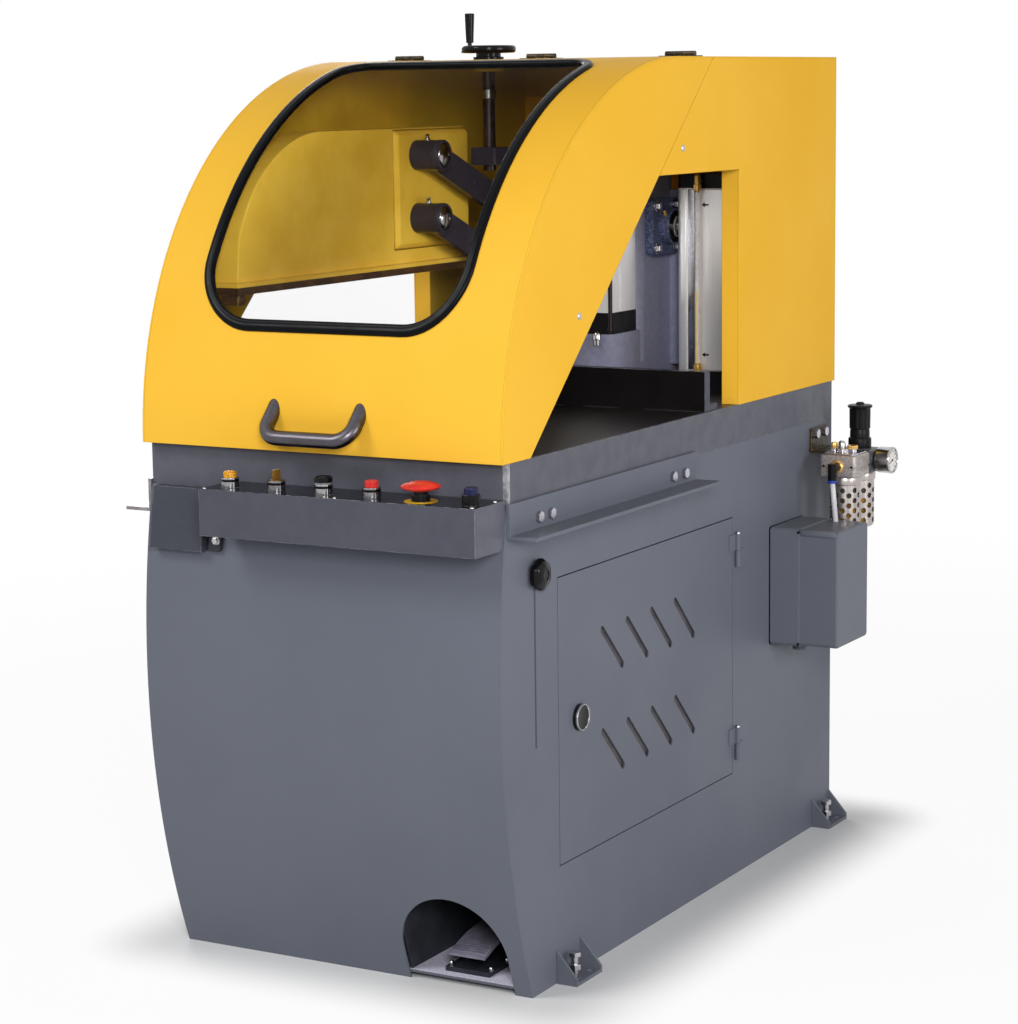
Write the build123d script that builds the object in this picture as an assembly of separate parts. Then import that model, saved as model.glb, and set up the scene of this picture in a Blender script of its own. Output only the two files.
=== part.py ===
from build123d import *
import math
import os

# Upcut saw: cabinet, table, lifting hood, hold-down guard on parallel arms, rising saw unit.
# Frame: x to the right, y to the back, z up from the floor, in millimetres.
# A name that ends in _set is a distance behind the front of the hood.

# Clearances
run_fit = 0.05
link_fit = 0.3
slide_gap = 0.5

# Cabinet and table
cabinet_width = 689.0
cabinet_sheet = 4.0
table_height = 890.0
table_band = 71.0
table_plate = 20.0
band_wall = 6.0
table_front_set = 21.0
table_back_inset = 7.0
belly_height = 520.0
belly_set = -13.0
barrel_top_set = 18.0
barrel_foot_set = 82.0
arch_x = 212.0
arch_radius = 100.5
arch_side = 62.0
floor_gap = 10.0
floor_sheet = 6.0
floor_reach = 102.0
floor_depth = 338.0
shelf_top = 208.0
shelf_sheet = 8.0
shelf_margin = 10.0

# Hood
hood_depth = 1340.0
hood_rise = 631.0
hood_clear = 1.0
hood_sheet = 3.0
hood_seam = 3.0
hinge_set = 777.0
seam_low_set = 92.0
opening_rise = 429.0
wing_set = 886.0
wing_flange = 32.0
foot_flange = 30.0
handle_span = 166.0
handle_drop = 38.0
handle_reach = 36.0
handle_radius = 12.5
handle_corner = 30.0
handle_rise = 64.0

# Window, as angles round the hood's curve and widths across it
window_low_angle = 17.7
window_high_angle = 81.2
window_half = 258.0
window_low_corner = 110.0
window_high_corner = 60.0
gasket_lip = 6.5
gasket_core = 4.0
gasket_proud = 5.0
glass_sheet = 4.0

# Hinges
hinge_width = 58.0
hinge_leaf = 30.0
hinge_leaf_sheet = 2.5
hinge_inset = 65.0
knuckle_radius = 5.0
hinge_pin_radius = 2.5
knuckle_share = 0.34

# Side door
door_front_set = 182.0
door_rear_set = 862.0
door_low = 199.0
door_high = 682.0
door_gap = 2.0
door_sheet = 3.0
door_hinge_length = 62.0
door_hinge_low_inset = 23.0
door_hinge_high_inset = 31.0
door_hinge_reach = 14.0
latch_set = 252.0
latch_height = 436.0
latch_radius = 22.5
latch_flange = 6.0
latch_body_radius = 12.0
latch_tongue_length = 90.0
latch_tongue_width = 18.0
latch_tongue_sheet = 3.0
latch_tongue_gap = 5.0
louver_first_set = 376.0
louver_pitch = 94.0
louver_count = 4
louver_rises = (332.0, 155.0)
louver_length = 118.0
louver_width = 13.0

# Stroke knob and its slot
knob_set = 104.0
knob_drop = 69.0
knob_travel = 285.0
knob_radius = 25.0
knob_depth = 22.0
knob_lobes = 6
knob_stem_radius = 2.2
knob_nut_depth = 8.0
knob_nut_half = 9.0

# Conveyor rails
rail_front_set = 15.0
rail_length = 682.0
rail_drop = 48.0
rail_height = 56.0
rail_reach = 54.0
rail_sheet = 6.0
rail_bolt_sets = (108.0, 148.0, 597.0, 645.0)
rail_bolt_rise = 24.0
bolt_head_radius = 9.5
bolt_head_depth = 7.0

# Feet
foot_front_set = 222.0
foot_rear_inset = 41.0
foot_ahead = 58.0
foot_behind = 32.0
foot_reach = 39.0
foot_sheet = 6.0
foot_rise = 57.0
foot_gusset = 5.0
foot_nose = 6.0
foot_bolt_out = 18.5
foot_bolt_ahead = 27.0
foot_anchor_out = 27.5
foot_anchor_behind = 13.0
foot_bolt_radius = 6.0
foot_bolt_length = 42.0
foot_anchor_radius = 7.0
foot_nut_radius = 11.0
foot_nut_depth = 9.0
foot_nut_lift = 13.0

# Control box
box_left = -178.0
box_right_inset = 2.5
box_front_set = -80.0
box_drop = 57.0
box_height = 78.0
box_sheet = 3.0
button_count = 6
button_pitch = 91.0
button_first_x = -139.0
button_set = -45.0
bezel_radius = 14.8
bezel_height = 17.0
mushroom_bezel_height = 11.0
cap_radius = 11.0
cap_height = 17.0
cap_lift = 11.0
stem_radius = 5.0
stem_length = 32.0
mushroom_radius = 32.0
mushroom_height = 15.0
mushroom_lift = 17.0
selector_length = 26.0
selector_width = 8.0
selector_height = 6.5
side_cover_inset = 18.5
side_cover_width = 106.0
side_cover_height = 104.0
side_cover_depth = 20.0

# Junction box
junction_set = 1030.0
junction_length = 156.0
junction_drop = 406.0
junction_height = 227.0
junction_depth = 139.0
junction_base_depth = 61.0
junction_round = 8.0
junction_step = 2.0
junction_wall = 4.0
gland_radius = 8.0
gland_wall = 6.0
gland_length = 20.0

# Air treatment unit
air_bracket_set = 1222.0
air_bracket_length = 84.0
air_bracket_drop = 13.0
air_bracket_height = 46.0
air_bracket_sheet = 4.0
air_bracket_reach = 38.5
air_body_set = 1182.0
air_body_width = 74.0
air_body_length = 76.0
air_body_drop = 40.5
air_body_height = 43.0
air_body_round = 5.0
bowl_radius = 29.0
bowl_length = 110.5
bowl_collar = 22.0
bowl_wall = 2.5
bowl_hole_radius = 5.2
bowl_hole_count = 7
bowl_hole_rows = 8
bonnet_radius = 24.0
bonnet_height = 2.0
regulator_radius = 21.5
regulator_height = 84.0
regulator_nub_radius = 8.0
regulator_nub_height = 6.0
gauge_radius = 26.0
gauge_depth = 32.0
gauge_stem = 2.0
gauge_stem_radius = 6.0
gauge_rise = 23.5
air_screw_radius = 7.0
air_screw_height = 22.0
air_screw_spread = 22.0
air_inlet_radius = 6.6
air_inlet_length = 15.0
air_tube_radius = 5.0
air_tube_slant = 8.0
air_elbow_radius = 8.5
air_elbow_reach = 25.0
air_elbow_drop = 24.0

# Foot switch
pedal_width = 68.0
pedal_length = 138.0
pedal_front_set = 98.0
pedal_sheet = 8.0
pedal_front_lift = 28.0
pedal_rear_lift = 50.0
pedal_pin_radius = 4.0
pedal_base_sheet = 8.0
pedal_lug = 6.0
pedal_lug_gap = 2.0

# Column and pedestal
column_x = 17.5
column_width = 155.0
column_set = 985.0
column_depth = 155.0
column_height = 450.0
column_wall = 8.0
column_round = 20.0
pedestal_left = -90.0
pedestal_set = 815.0
pedestal_rear_set = 1150.0
pedestal_height = 60.0
plinth_height = 62.0
plinth_margin = 3.0
bearing_flange = 108.0
bearing_sheet = 18.0
bearing_boss_radius = 33.0
bearing_boss = 18.0
bearing_bolt_spread = 40.0

# Parallel arms
pivot_set = 1062.0
pivot_rise = 315.0
pivot_spacing = 116.0
arm_reach = 365.0
arm_lift = 145.0
arm_swing = 32.7
arm_x = -186.0
arm_sheet = 12.0
arm_height = 52.0
hub_radius = 28.0
hub_dome = 14.0
hub_end = 20.0
rear_hub_radius = 32.0
rear_hub_length = 50.0
shaft_radius = 15.0
guard_pin_radius = 12.5

# Blade guard
guard_right = -230.0
guard_width = 49.0
guard_wall = 3.0
guard_front_set = 120.0
guard_knee_set = 130.0
guard_bend_set = 220.0
guard_crown_set = 400.0
guard_rear_set = 885.0
guard_low_rise = 254.0
guard_knee_rise = 335.0
guard_bend_rise = 452.0
guard_top_rise = 510.0
guard_lip = 8.0
guard_lip_height = 8.0
guard_strip = 12.0
guard_pad = 8.0
guard_pad_set = 638.0
guard_pad_low_rise = 300.0
guard_pad_high_rise = 495.0
bumper_width = 34.0
bumper_length = 20.0
bumper_height = 18.0
bumper_inset = 6.0
bumper_ball = 8.0

# Oil tanks
tank_size = 110.0
tank_round = 8.0
tank_bore = 44.0
groove_width = 9.0
groove_depth = 5.0
groove_offset = 17.0
right_tank_x = 195.0
right_tank_set = 1055.0
right_tank_rise = 388.0
left_tank_x = 37.0
left_tank_gap = 5.0
left_tank_rise = 410.0
tank_cap = 40.0
tank_top_cap = 27.0
sight_x = 188.0
sight_rise = 46.0
sight_radius = 4.5
sight_reach = 11.0
fitting_radius = 7.0
fitting_half = 9.0

# Hold-down cylinder
hold_x = -125.0
hold_reach = 137.0
hold_pin_radius = 8.0
hold_radius = 28.0
hold_height = 210.0
hold_rod_inside = 100.0
hold_rod_travel = 82.0
eye_radius = 20.0
eye_width = 24.0
eye_slot = 7.0

# Fence
fence_set = 755.0
fence_left = -215.0
fence_right_inset = 4.5
fence_stub_inset = 6.5
fence_stub_length = 42.0
fence_sheet = 20.0
fence_height = 73.0
fence_foot = 31.0
fence_foot_sheet = 12.0

# Handwheel stop
wheel_set = 870.0
wheel_radius = 52.5
wheel_rim = 7.0
wheel_lift = 21.5
wheel_hub_radius = 24.0
wheel_hub_height = 18.0
wheel_web = 3.0
grip_low_radius = 7.2
grip_high_radius = 9.5
grip_length = 55.0
grip_neck = 5.5
grip_orbit = 40.0
grip_pin_radius = 4.0
grip_end = 6.0
screw_radius = 12.0
screw_collar_radius = 14.0
screw_collar_depth = 16.0
screw_collar_drop = 70.0
screw_end_gap = 7.0
bush_radius = 29.0
bush_height = 7.0
bush_drop = 20.0
nut_size = 54.0
nut_height = 33.0
nut_lift = 18.0

# Saw unit under the table
blade_radius = 225.0
blade_sheet = 4.0
blade_teeth = 60
tooth_depth = 7.0
blade_set = 480.0
blade_drop = 250.0
blade_bore = 16.0
slot_width = 10.0
slot_margin = 8.0
saw_pivot_set = 900.0
saw_pivot_drop = 168.0
saw_pivot_radius = 16.0
saw_tube_radius = 34.0
saw_tube_length = 140.0
saw_arm_x = -200.0
saw_arm_width = 70.0
saw_arm_sheet = 10.0
saw_arm_height = 84.0
spindle_housing_radius = 45.0
flange_radius = 60.0
flange_sheet = 10.0
flange_gap = 2.0
pulley_radius = 42.0
pulley_width = 36.0
pulley_gap = 6.0
belt_sheet = 8.0
belt_width = 30.0
motor_set = 1040.0
motor_drop = 260.0
motor_radius = 95.0
motor_core_radius = 85.0
motor_length = 290.0
motor_shaft_radius = 14.0
motor_bearing = 45.0
motor_plate = 12.0
motor_fins = 20
motor_fin_sheet = 5.0
hanger_sheet = 12.0
hanger_length = 80.0
hanger_foot = 42.0
lift_pin_reach = 280.0
lift_pin_radius = 10.0
lift_rod_radius = 9.0
lift_radius = 32.0
lift_top = 470.0
lift_rod_inside = 150.0

# Places worked out from the sizes above
half_width = cabinet_width / 2
hood_half = half_width + hood_sheet
box_right = half_width - box_right_inset
side_cover_left = -half_width + side_cover_inset
side_cover_right = side_cover_left + side_cover_width
fence_right = half_width - fence_right_inset
fence_stub_left = -half_width + fence_stub_inset
fence_stub_right = fence_stub_left + fence_stub_length
foot_rear_set = hood_depth - foot_rear_inset
y_front = -(foot_front_set + foot_rear_set) / 2 - foot_anchor_behind
y_back = y_front + hood_depth
cabinet_height = table_height - table_band
cabinet_back = y_back - table_back_inset
hood_base = table_height + hood_clear
hood_top = hood_base + hood_rise
hood_centre_y = y_front + hood_rise
opening_top = hood_base + opening_rise
table_under = table_height - table_plate
box_top = table_height - box_drop
side_cover_low = cabinet_height - side_cover_height
rail_low = cabinet_height - rail_drop
rail_bolt_height = rail_low + rail_bolt_rise
knob_height = rail_low - knob_drop
junction_low = cabinet_height - junction_drop
floor_top = floor_gap + floor_sheet
hinge_y = y_front + hinge_set
hinge_z = hood_top + knuckle_radius + slide_gap
door_axis_x = half_width + knuckle_radius
door_axis_y = y_front + door_rear_set + door_hinge_reach
button_y = y_front + button_set
y_pivot = y_front + pivot_set
z_pivot = table_height + pivot_rise
y_hub = y_pivot - arm_reach
z_hub = z_pivot + arm_lift
arm_left = arm_x - arm_sheet / 2
arm_right = arm_x + arm_sheet / 2
hub_left = guard_right + guard_pad + slide_gap
hub_right = arm_right + hub_end
guard_left = guard_right - guard_width
guard_low = table_height + guard_low_rise
blade_x = (guard_left + guard_right) / 2
column_right = column_x + column_width / 2
column_left = column_x - column_width / 2
column_top = table_height + column_height
pedestal_top = table_height + pedestal_height
plinth_top = pedestal_top + plinth_height
right_tank_top = table_height + right_tank_rise
left_tank_top = table_height + left_tank_rise
sight_low = table_height + sight_rise
left_tank_y = y_front + column_set - left_tank_gap - tank_size / 2
right_tank_y = y_front + right_tank_set + tank_size / 2
hold_y = y_pivot - hold_reach
hold_z = z_pivot + hold_reach * math.tan(math.radians(arm_swing / 2))
wheel_x = arm_x + hub_end + slide_gap * 2
wheel_y = y_front + wheel_set
wheel_z = hood_top + wheel_lift
arm_edge_rise = arm_height / 2 * math.hypot(arm_reach, arm_lift) / arm_reach
arm_edge_z = z_pivot + (y_pivot - wheel_y) * arm_lift / arm_reach + arm_edge_rise
nut_low = arm_edge_z + nut_lift
y_spindle = y_front + blade_set
z_spindle = table_height - blade_drop
y_saw_pivot = y_front + saw_pivot_set
z_saw_pivot = table_height - saw_pivot_drop
y_motor = y_front + motor_set
z_motor = table_height - motor_drop
saw_arm_left = saw_arm_x - saw_arm_width / 2
saw_arm_right = saw_arm_x + saw_arm_width / 2
motor_face = saw_arm_left + saw_tube_length
pulley_left = saw_arm_right + pulley_gap
pulley_right = pulley_left + pulley_width
pulley_x = (pulley_left + pulley_right) / 2
lift_y = y_saw_pivot - lift_pin_reach
lift_z = z_saw_pivot + lift_pin_reach * (z_spindle - z_saw_pivot) / (y_saw_pivot - y_spindle)
air_bracket_top = cabinet_height - air_bracket_drop
air_bracket_low = air_bracket_top - air_bracket_height
air_body_low = air_bracket_low - air_body_drop
air_left = half_width + air_bracket_reach
air_x = air_left + air_body_width / 2
air_y = y_front + air_body_set + air_body_length / 2
regulator_y = air_y + air_body_length
air_top = air_body_low + air_body_height
pedal_left = arch_x - pedal_width / 2
pedal_right = arch_x + pedal_width / 2
pedal_front = y_front + pedal_front_set
pedal_pin_y = pedal_front + pedal_length
pedal_pin_z = floor_top + pedal_rear_lift


# Shape helpers

def block(x_from, x_to, y_from, y_to, z_from, z_to):
    size = Box(x_to - x_from, y_to - y_from, z_to - z_from)
    return Pos((x_from + x_to) / 2, (y_from + y_to) / 2, (z_from + z_to) / 2) * size


def upright(x, y, z_from, z_to, radius):
    rod = Cylinder(radius, z_to - z_from, align=(Align.CENTER, Align.CENTER, Align.MIN))
    return Pos(x, y, z_from) * rod


def crosswise(x_from, x_to, y, z, radius):
    rod = Cylinder(radius, x_to - x_from, align=(Align.CENTER, Align.CENTER, Align.MIN))
    return Pos(x_from, y, z) * Rot(0, 90, 0) * rod


def lengthwise(y_from, y_to, x, z, radius):
    rod = Cylinder(radius, y_to - y_from, align=(Align.CENTER, Align.CENTER, Align.MIN))
    return Pos(x, y_from, z) * Rot(-90, 0, 0) * rod


def slab(outline, x_from, x_to):
    return extrude(Plane.YZ.offset(x_from) * make_face(outline), x_to - x_from)


def polygon_slab(points, x_from, x_to):
    return slab(Polyline(*points, close=True), x_from, x_to)


def link_bar(y_a, z_a, y_b, z_b, height, x_from, x_to):
    length = math.hypot(y_b - y_a, z_b - z_a)
    turn = math.degrees(math.atan2(z_b - z_a, y_b - y_a))
    bar = Box(x_to - x_from, length, height, align=(Align.MIN, Align.MIN, Align.CENTER))
    return Pos(x_from, y_a, z_a) * Rot(turn, 0, 0) * bar


def round_top(solid, radius):
    return fillet(solid.edges().filter_by(GeomType.CIRCLE).group_by(Axis.Z)[-1], radius)


def mirrored(solid):
    return mirror(solid, about=Plane.YZ)


def solids_of(*shapes):
    found = []
    for shape in shapes:
        found.extend(shape.solids())
    return Compound(found)


def hex_head(radius, depth):
    return extrude(RegularPolygon(radius, 6), depth)


def slotted_rod(x, y, z, z_from, rod_radius, pin_radius):
    half = eye_width / 2
    hole = pin_radius + slide_gap
    rod = upright(x, y, z_from, z - hole, rod_radius)
    rod += crosswise(x - half, x + half, y, z, eye_radius + eye_slot)
    rod -= block(x - half - 1, x + half + 1, y - eye_slot, y + eye_slot, z - hole, z + hole)
    for way in (-eye_slot, eye_slot):
        rod -= crosswise(x - half - 1, x + half + 1, y + way, z, hole)
    return rod


# Cabinet

def barrel_arc(offset):
    top = (y_front + barrel_top_set + offset, cabinet_height)
    belly = (y_front + belly_set + offset, belly_height)
    foot = (y_front + barrel_foot_set + offset, 0)
    return top, belly, foot


def behind_barrel(offset, x_from, x_to):
    top, belly, foot = barrel_arc(offset)
    outline = ThreePointArc(top, belly, foot)
    outline += Polyline(foot, (cabinet_back, 0), (cabinet_back, cabinet_height), top)
    return slab(outline, x_from, x_to)


def front_panel():
    top, belly, foot = barrel_arc(0)
    inner_top, inner_belly, inner_foot = barrel_arc(cabinet_sheet)
    outline = ThreePointArc(top, belly, foot) + Line(foot, inner_foot)
    outline += ThreePointArc(inner_foot, inner_belly, inner_top) + Line(inner_top, top)
    panel = slab(outline, -half_width, half_width)
    y_from = y_front + belly_set - cabinet_sheet
    y_to = y_front + barrel_foot_set + 2 * cabinet_sheet
    arch = block(arch_x - arch_radius, arch_x + arch_radius, y_from, y_to, -1, arch_side)
    arch += lengthwise(y_from, y_to, arch_x, arch_side, arch_radius)
    return panel - arch


def left_panel():
    inner = -half_width + cabinet_sheet
    panel = behind_barrel(cabinet_sheet, -half_width, inner)
    reach = lift_radius + shelf_margin
    return panel + block(inner, saw_arm_x + reach, lift_y - reach, lift_y + reach,
                         shelf_top - shelf_sheet, shelf_top)


def door_outline(grow):
    low = (y_front + door_front_set - grow, door_low - grow)
    high = (y_front + door_rear_set + grow, door_high + grow)
    return low, high


def right_panel():
    x_from = half_width - cabinet_sheet - 1
    x_to = half_width + 1
    panel = behind_barrel(cabinet_sheet, half_width - cabinet_sheet, half_width)
    low, high = door_outline(door_gap)
    panel -= block(x_from, x_to, low[0], high[0], low[1], high[1])
    slot_low = knob_height - knob_travel
    slot_half = knob_stem_radius + slide_gap
    y_knob = y_front + knob_set
    panel -= block(x_from, x_to, y_knob - slot_half, y_knob + slot_half, slot_low, knob_height)
    for z_end in (slot_low, knob_height):
        panel -= crosswise(x_from, x_to, y_knob, z_end, slot_half)
    return panel


def back_panel():
    inner = half_width - cabinet_sheet
    return block(-inner, inner, cabinet_back - cabinet_sheet, cabinet_back, 0, cabinet_height)


def floor_plate():
    x_from = arch_x - floor_reach
    x_to = half_width - cabinet_sheet
    y_to = y_front + barrel_foot_set + floor_depth
    plate = behind_barrel(cabinet_sheet, x_from, x_to)
    return plate & block(x_from, x_to, y_front, y_to, floor_gap, floor_top)


# Table

def table_frame():
    y_from = y_front + table_front_set
    outer = block(-half_width, half_width, y_from, cabinet_back, cabinet_height, table_height)
    return outer - block(-half_width + band_wall, half_width - band_wall, y_from + band_wall,
                         cabinet_back - band_wall, cabinet_height - 1, table_height + 1)


def saw_hanger():
    y_from = y_saw_pivot - hanger_length / 2
    y_to = y_saw_pivot + hanger_length / 2
    left = saw_arm_left - slide_gap
    right = motor_face + slide_gap
    hanger = crosswise(left - hanger_sheet, right + hanger_sheet, y_saw_pivot, z_saw_pivot,
                       saw_pivot_radius)
    for x_from in (left - hanger_sheet, right):
        hanger += block(x_from, x_from + hanger_sheet, y_from, y_to, z_saw_pivot - hanger_foot,
                        table_under)
    return hanger


def table_top():
    edge = half_width - band_wall
    plate = block(-edge, edge, y_front + table_front_set + band_wall, cabinet_back - band_wall,
                  table_under, table_height)
    reach = blade_radius + slot_margin
    slot = block(blade_x - slot_width / 2, blade_x + slot_width / 2, y_spindle - reach,
                 y_spindle + reach, table_under - 1, table_height + 1)
    return plate - slot + saw_hanger()


def fence_piece(x_from, x_to):
    y_from = y_front + fence_set
    y_face = y_from + fence_sheet
    plate = block(x_from, x_to, y_from, y_face, table_height, table_height + fence_height)
    return plate + block(x_from, x_to, y_face, y_face + fence_foot, table_height,
                         table_height + fence_foot_sheet)


def fence():
    return solids_of(fence_piece(fence_left, fence_right),
                     fence_piece(fence_stub_left, fence_stub_right))


def rail():
    y_from = y_front + rail_front_set
    y_to = y_from + rail_length
    face = half_width + rail_sheet
    leg = block(half_width, face, y_from, y_to, rail_low, rail_low + rail_height)
    return leg + block(face, half_width + rail_reach, y_from, y_to, rail_low, rail_low + rail_sheet)


def conveyor_rails():
    return solids_of(rail(), mirrored(rail()))


# Feet and fasteners

def foot_places():
    return y_front + foot_front_set, y_front + foot_rear_set


def foot(y):
    y_from = y - foot_ahead
    y_to = y + foot_behind
    edge = half_width + foot_reach
    bracket = block(half_width, edge, y_from, y_to, 0, foot_sheet)
    web = make_face(Plane.XZ * Polyline(
        (half_width, 0), (edge, 0), (edge, foot_sheet + foot_nose), (half_width, foot_rise),
        close=True))
    for y_face in (y_from + foot_gusset, y_to):
        bracket += Pos(0, y_face, 0) * extrude(web, foot_gusset)
    bracket -= upright(half_width + foot_bolt_out, y - foot_bolt_ahead, -1, foot_sheet + 1,
                       foot_bolt_radius + slide_gap)
    return bracket - upright(half_width + foot_anchor_out, y + foot_anchor_behind, -1, foot_sheet + 1,
                             foot_anchor_radius)


def foot_brackets():
    right = [foot(y) for y in foot_places()]
    return solids_of(*right, *[mirrored(one) for one in right])


def levelling_bolt(x, y):
    bolt = upright(x, y, 0, foot_bolt_length, foot_bolt_radius)
    bolt += Pos(x, y, foot_bolt_length) * hex_head(foot_nut_radius, bolt_head_depth)
    return bolt + Pos(x, y, foot_sheet + foot_nut_lift) * hex_head(foot_nut_radius, foot_nut_depth)


def side_bolt(x, y, z):
    return Pos(x, y, z) * Rot(0, 90, 0) * hex_head(bolt_head_radius, bolt_head_depth)


def hex_bolts():
    bolts = []
    for y in foot_places():
        x = half_width + foot_bolt_out
        bolts.append(levelling_bolt(x, y - foot_bolt_ahead))
        bolts.append(levelling_bolt(-x, y - foot_bolt_ahead))
    for place in rail_bolt_sets:
        head = side_bolt(half_width + rail_sheet, y_front + place, rail_bolt_height)
        bolts.extend([head, mirrored(head)])
    for y_way in (-1, 1):
        for z_way in (-1, 1):
            y = y_pivot + y_way * bearing_bolt_spread
            z = z_pivot + z_way * bearing_bolt_spread
            bolts.append(side_bolt(column_right + bearing_sheet, y, z))
            bolts.append(side_bolt(column_left - bearing_sheet - bolt_head_depth, y, z))
        y_bracket = y_front + air_bracket_set + air_bracket_length * (0.5 + 0.25 * y_way)
        bolts.append(side_bolt(half_width + air_bracket_sheet, y_bracket,
                               air_bracket_top - air_bracket_height / 4))
    return solids_of(*bolts)


# Hood

def seam_y(z):
    share = (z - hood_base) / hood_rise
    return y_front + seam_low_set + (hinge_set - seam_low_set) * share


def hood_layer(outside, inside, x_from, x_to):
    y_end = seam_y(hood_top) - hood_seam / 2
    slant = math.sqrt(0.5)
    wide = hood_rise + outside
    tight = hood_rise - inside
    start = (y_front - outside, hood_base)
    crown = (hood_centre_y, hood_top + outside)
    under = (hood_centre_y, hood_top - inside)
    finish = (y_front + inside, hood_base)
    outline = ThreePointArc(
        start, (hood_centre_y - wide * slant, hood_base + wide * slant), crown)
    outline += Polyline(crown, (y_end, crown[1]), (y_end, under[1]), under)
    outline += ThreePointArc(
        under, (hood_centre_y - tight * slant, hood_base + tight * slant), finish)
    outline += Line(finish, start)
    return slab(outline, x_from, x_to)


def hood_point(angle):
    turn = math.radians(angle)
    return hood_centre_y - hood_rise * math.cos(turn), hood_base + hood_rise * math.sin(turn)


def window_prism(inset):
    low = hood_point(window_low_angle)
    high = hood_point(window_high_angle)
    rise = (high[0] - low[0], high[1] - low[1])
    chord = math.hypot(*rise)
    middle = (0, (low[0] + high[0]) / 2, (low[1] + high[1]) / 2)
    plane = Plane(origin=middle, x_dir=(1, 0, 0), z_dir=(0, -rise[1], rise[0]))
    half = window_half - inset
    tall = chord / 2 - inset
    low_corner = window_low_corner - inset
    high_corner = window_high_corner - inset
    slant = 1 - math.sqrt(0.5)
    outline = Line((-half + low_corner, -tall), (half - low_corner, -tall))
    outline += ThreePointArc((half - low_corner, -tall),
                             (half - low_corner * slant, -tall + low_corner * slant),
                             (half, -tall + low_corner))
    outline += Line((half, -tall + low_corner), (half, tall - high_corner))
    outline += ThreePointArc((half, tall - high_corner),
                             (half - high_corner * slant, tall - high_corner * slant),
                             (half - high_corner, tall))
    outline += Line((half - high_corner, tall), (-half + high_corner, tall))
    outline += ThreePointArc((-half + high_corner, tall),
                             (-half + high_corner * slant, tall - high_corner * slant),
                             (-half, tall - high_corner))
    outline += Line((-half, tall - high_corner), (-half, -tall + low_corner))
    outline += ThreePointArc((-half, -tall + low_corner),
                             (-half + low_corner * slant, -tall + low_corner * slant),
                             (-half + low_corner, -tall))
    return extrude(plane * make_face(outline), hood_rise / 2, both=True)


def front_hood_skin():
    return hood_layer(0, hood_sheet, -hood_half, hood_half) - window_prism(gasket_lip)


def window_glass():
    return hood_layer(0, glass_sheet, -hood_half, hood_half) & window_prism(gasket_lip + gasket_core)


def window_gasket():
    ring = window_prism(0) - window_prism(2 * gasket_lip + gasket_core)
    seal = hood_layer(gasket_proud, hood_sheet + gasket_proud, -hood_half, hood_half) & ring
    return seal - front_hood_skin() - window_glass()


def front_hood_side():
    slant = math.sqrt(0.5)
    inner = hood_rise - hood_sheet
    z_inner = hood_top - hood_sheet
    start = (y_front + hood_sheet, hood_base)
    crown = (hood_centre_y, z_inner)
    outline = ThreePointArc(
        start, (hood_centre_y - inner * slant, hood_base + inner * slant), crown)
    outline += Polyline(crown, (seam_y(z_inner) - hood_seam / 2, z_inner),
                        (seam_y(hood_base) - hood_seam / 2, hood_base), start)
    return slab(outline, half_width, hood_half)


def front_hood_sides():
    return solids_of(front_hood_side(), mirrored(front_hood_side()))


def rear_hood_side():
    z_inner = hood_top - hood_sheet
    y_wing = y_front + wing_set
    y_end = y_back - hood_sheet
    side = polygon_slab([(seam_y(opening_top) + hood_seam / 2, opening_top),
                         (seam_y(z_inner) + hood_seam / 2, z_inner), (y_end, z_inner),
                         (y_end, table_height), (y_wing, table_height), (y_wing, opening_top)],
                        half_width, hood_half)
    flange = block(half_width - wing_flange, half_width, y_wing, y_wing + hood_sheet,
                   table_height, opening_top)
    seat = block(half_width - foot_flange, half_width, y_wing + hood_sheet, y_end,
                 table_height, table_height + hood_sheet)
    return side + flange + seat


def rear_hood_sides():
    return solids_of(rear_hood_side(), mirrored(rear_hood_side()))


def rear_hood_cover():
    y_from = seam_y(hood_top) + hood_seam / 2
    cover = block(-hood_half, hood_half, y_from, y_back, hood_top - hood_sheet, hood_top)
    cover += block(-hood_half, hood_half, y_back - hood_sheet, y_back, table_height,
                   hood_top - hood_sheet)
    cover += upright(wheel_x, wheel_y, hood_top - bush_drop, hood_top + bush_height, bush_radius)
    return cover - upright(wheel_x, wheel_y, hood_top - 2 * bush_drop, hood_top + 2 * bush_height,
                           screw_radius + run_fit)


def hinge_places():
    outer = hood_half - hinge_inset
    return -outer, 0, outer


def fixed_leaf(x):
    knuckle = hinge_width * knuckle_share
    near = hinge_y + knuckle_radius + slide_gap
    leaf = block(x - hinge_width / 2, x + hinge_width / 2, near, hinge_y + hinge_leaf,
                 hood_top, hood_top + hinge_leaf_sheet)
    for x_from in (x - hinge_width / 2, x + hinge_width / 2 - knuckle):
        leaf += crosswise(x_from, x_from + knuckle, hinge_y, hinge_z, knuckle_radius)
        leaf += block(x_from, x_from + knuckle, hinge_y, near, hood_top + slide_gap,
                      hood_top + hinge_leaf_sheet)
    return leaf + crosswise(x - hinge_width / 2, x + hinge_width / 2, hinge_y, hinge_z,
                            hinge_pin_radius)


def moving_leaf(x):
    half = hinge_width * (0.5 - knuckle_share) - slide_gap
    near = hinge_y - knuckle_radius - slide_gap
    leaf = block(x - hinge_width / 2, x + hinge_width / 2, hinge_y - hinge_leaf, near,
                 hood_top, hood_top + hinge_leaf_sheet)
    leaf += crosswise(x - half, x + half, hinge_y, hinge_z, knuckle_radius)
    leaf += block(x - half, x + half, near, hinge_y, hood_top + slide_gap,
                  hood_top + hinge_leaf_sheet)
    return leaf - crosswise(x - half - 1, x + half + 1, hinge_y, hinge_z, hinge_pin_radius + run_fit)


def door_hinge_z():
    return door_low + door_hinge_low_inset, door_high - door_hinge_high_inset - door_hinge_length


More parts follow.
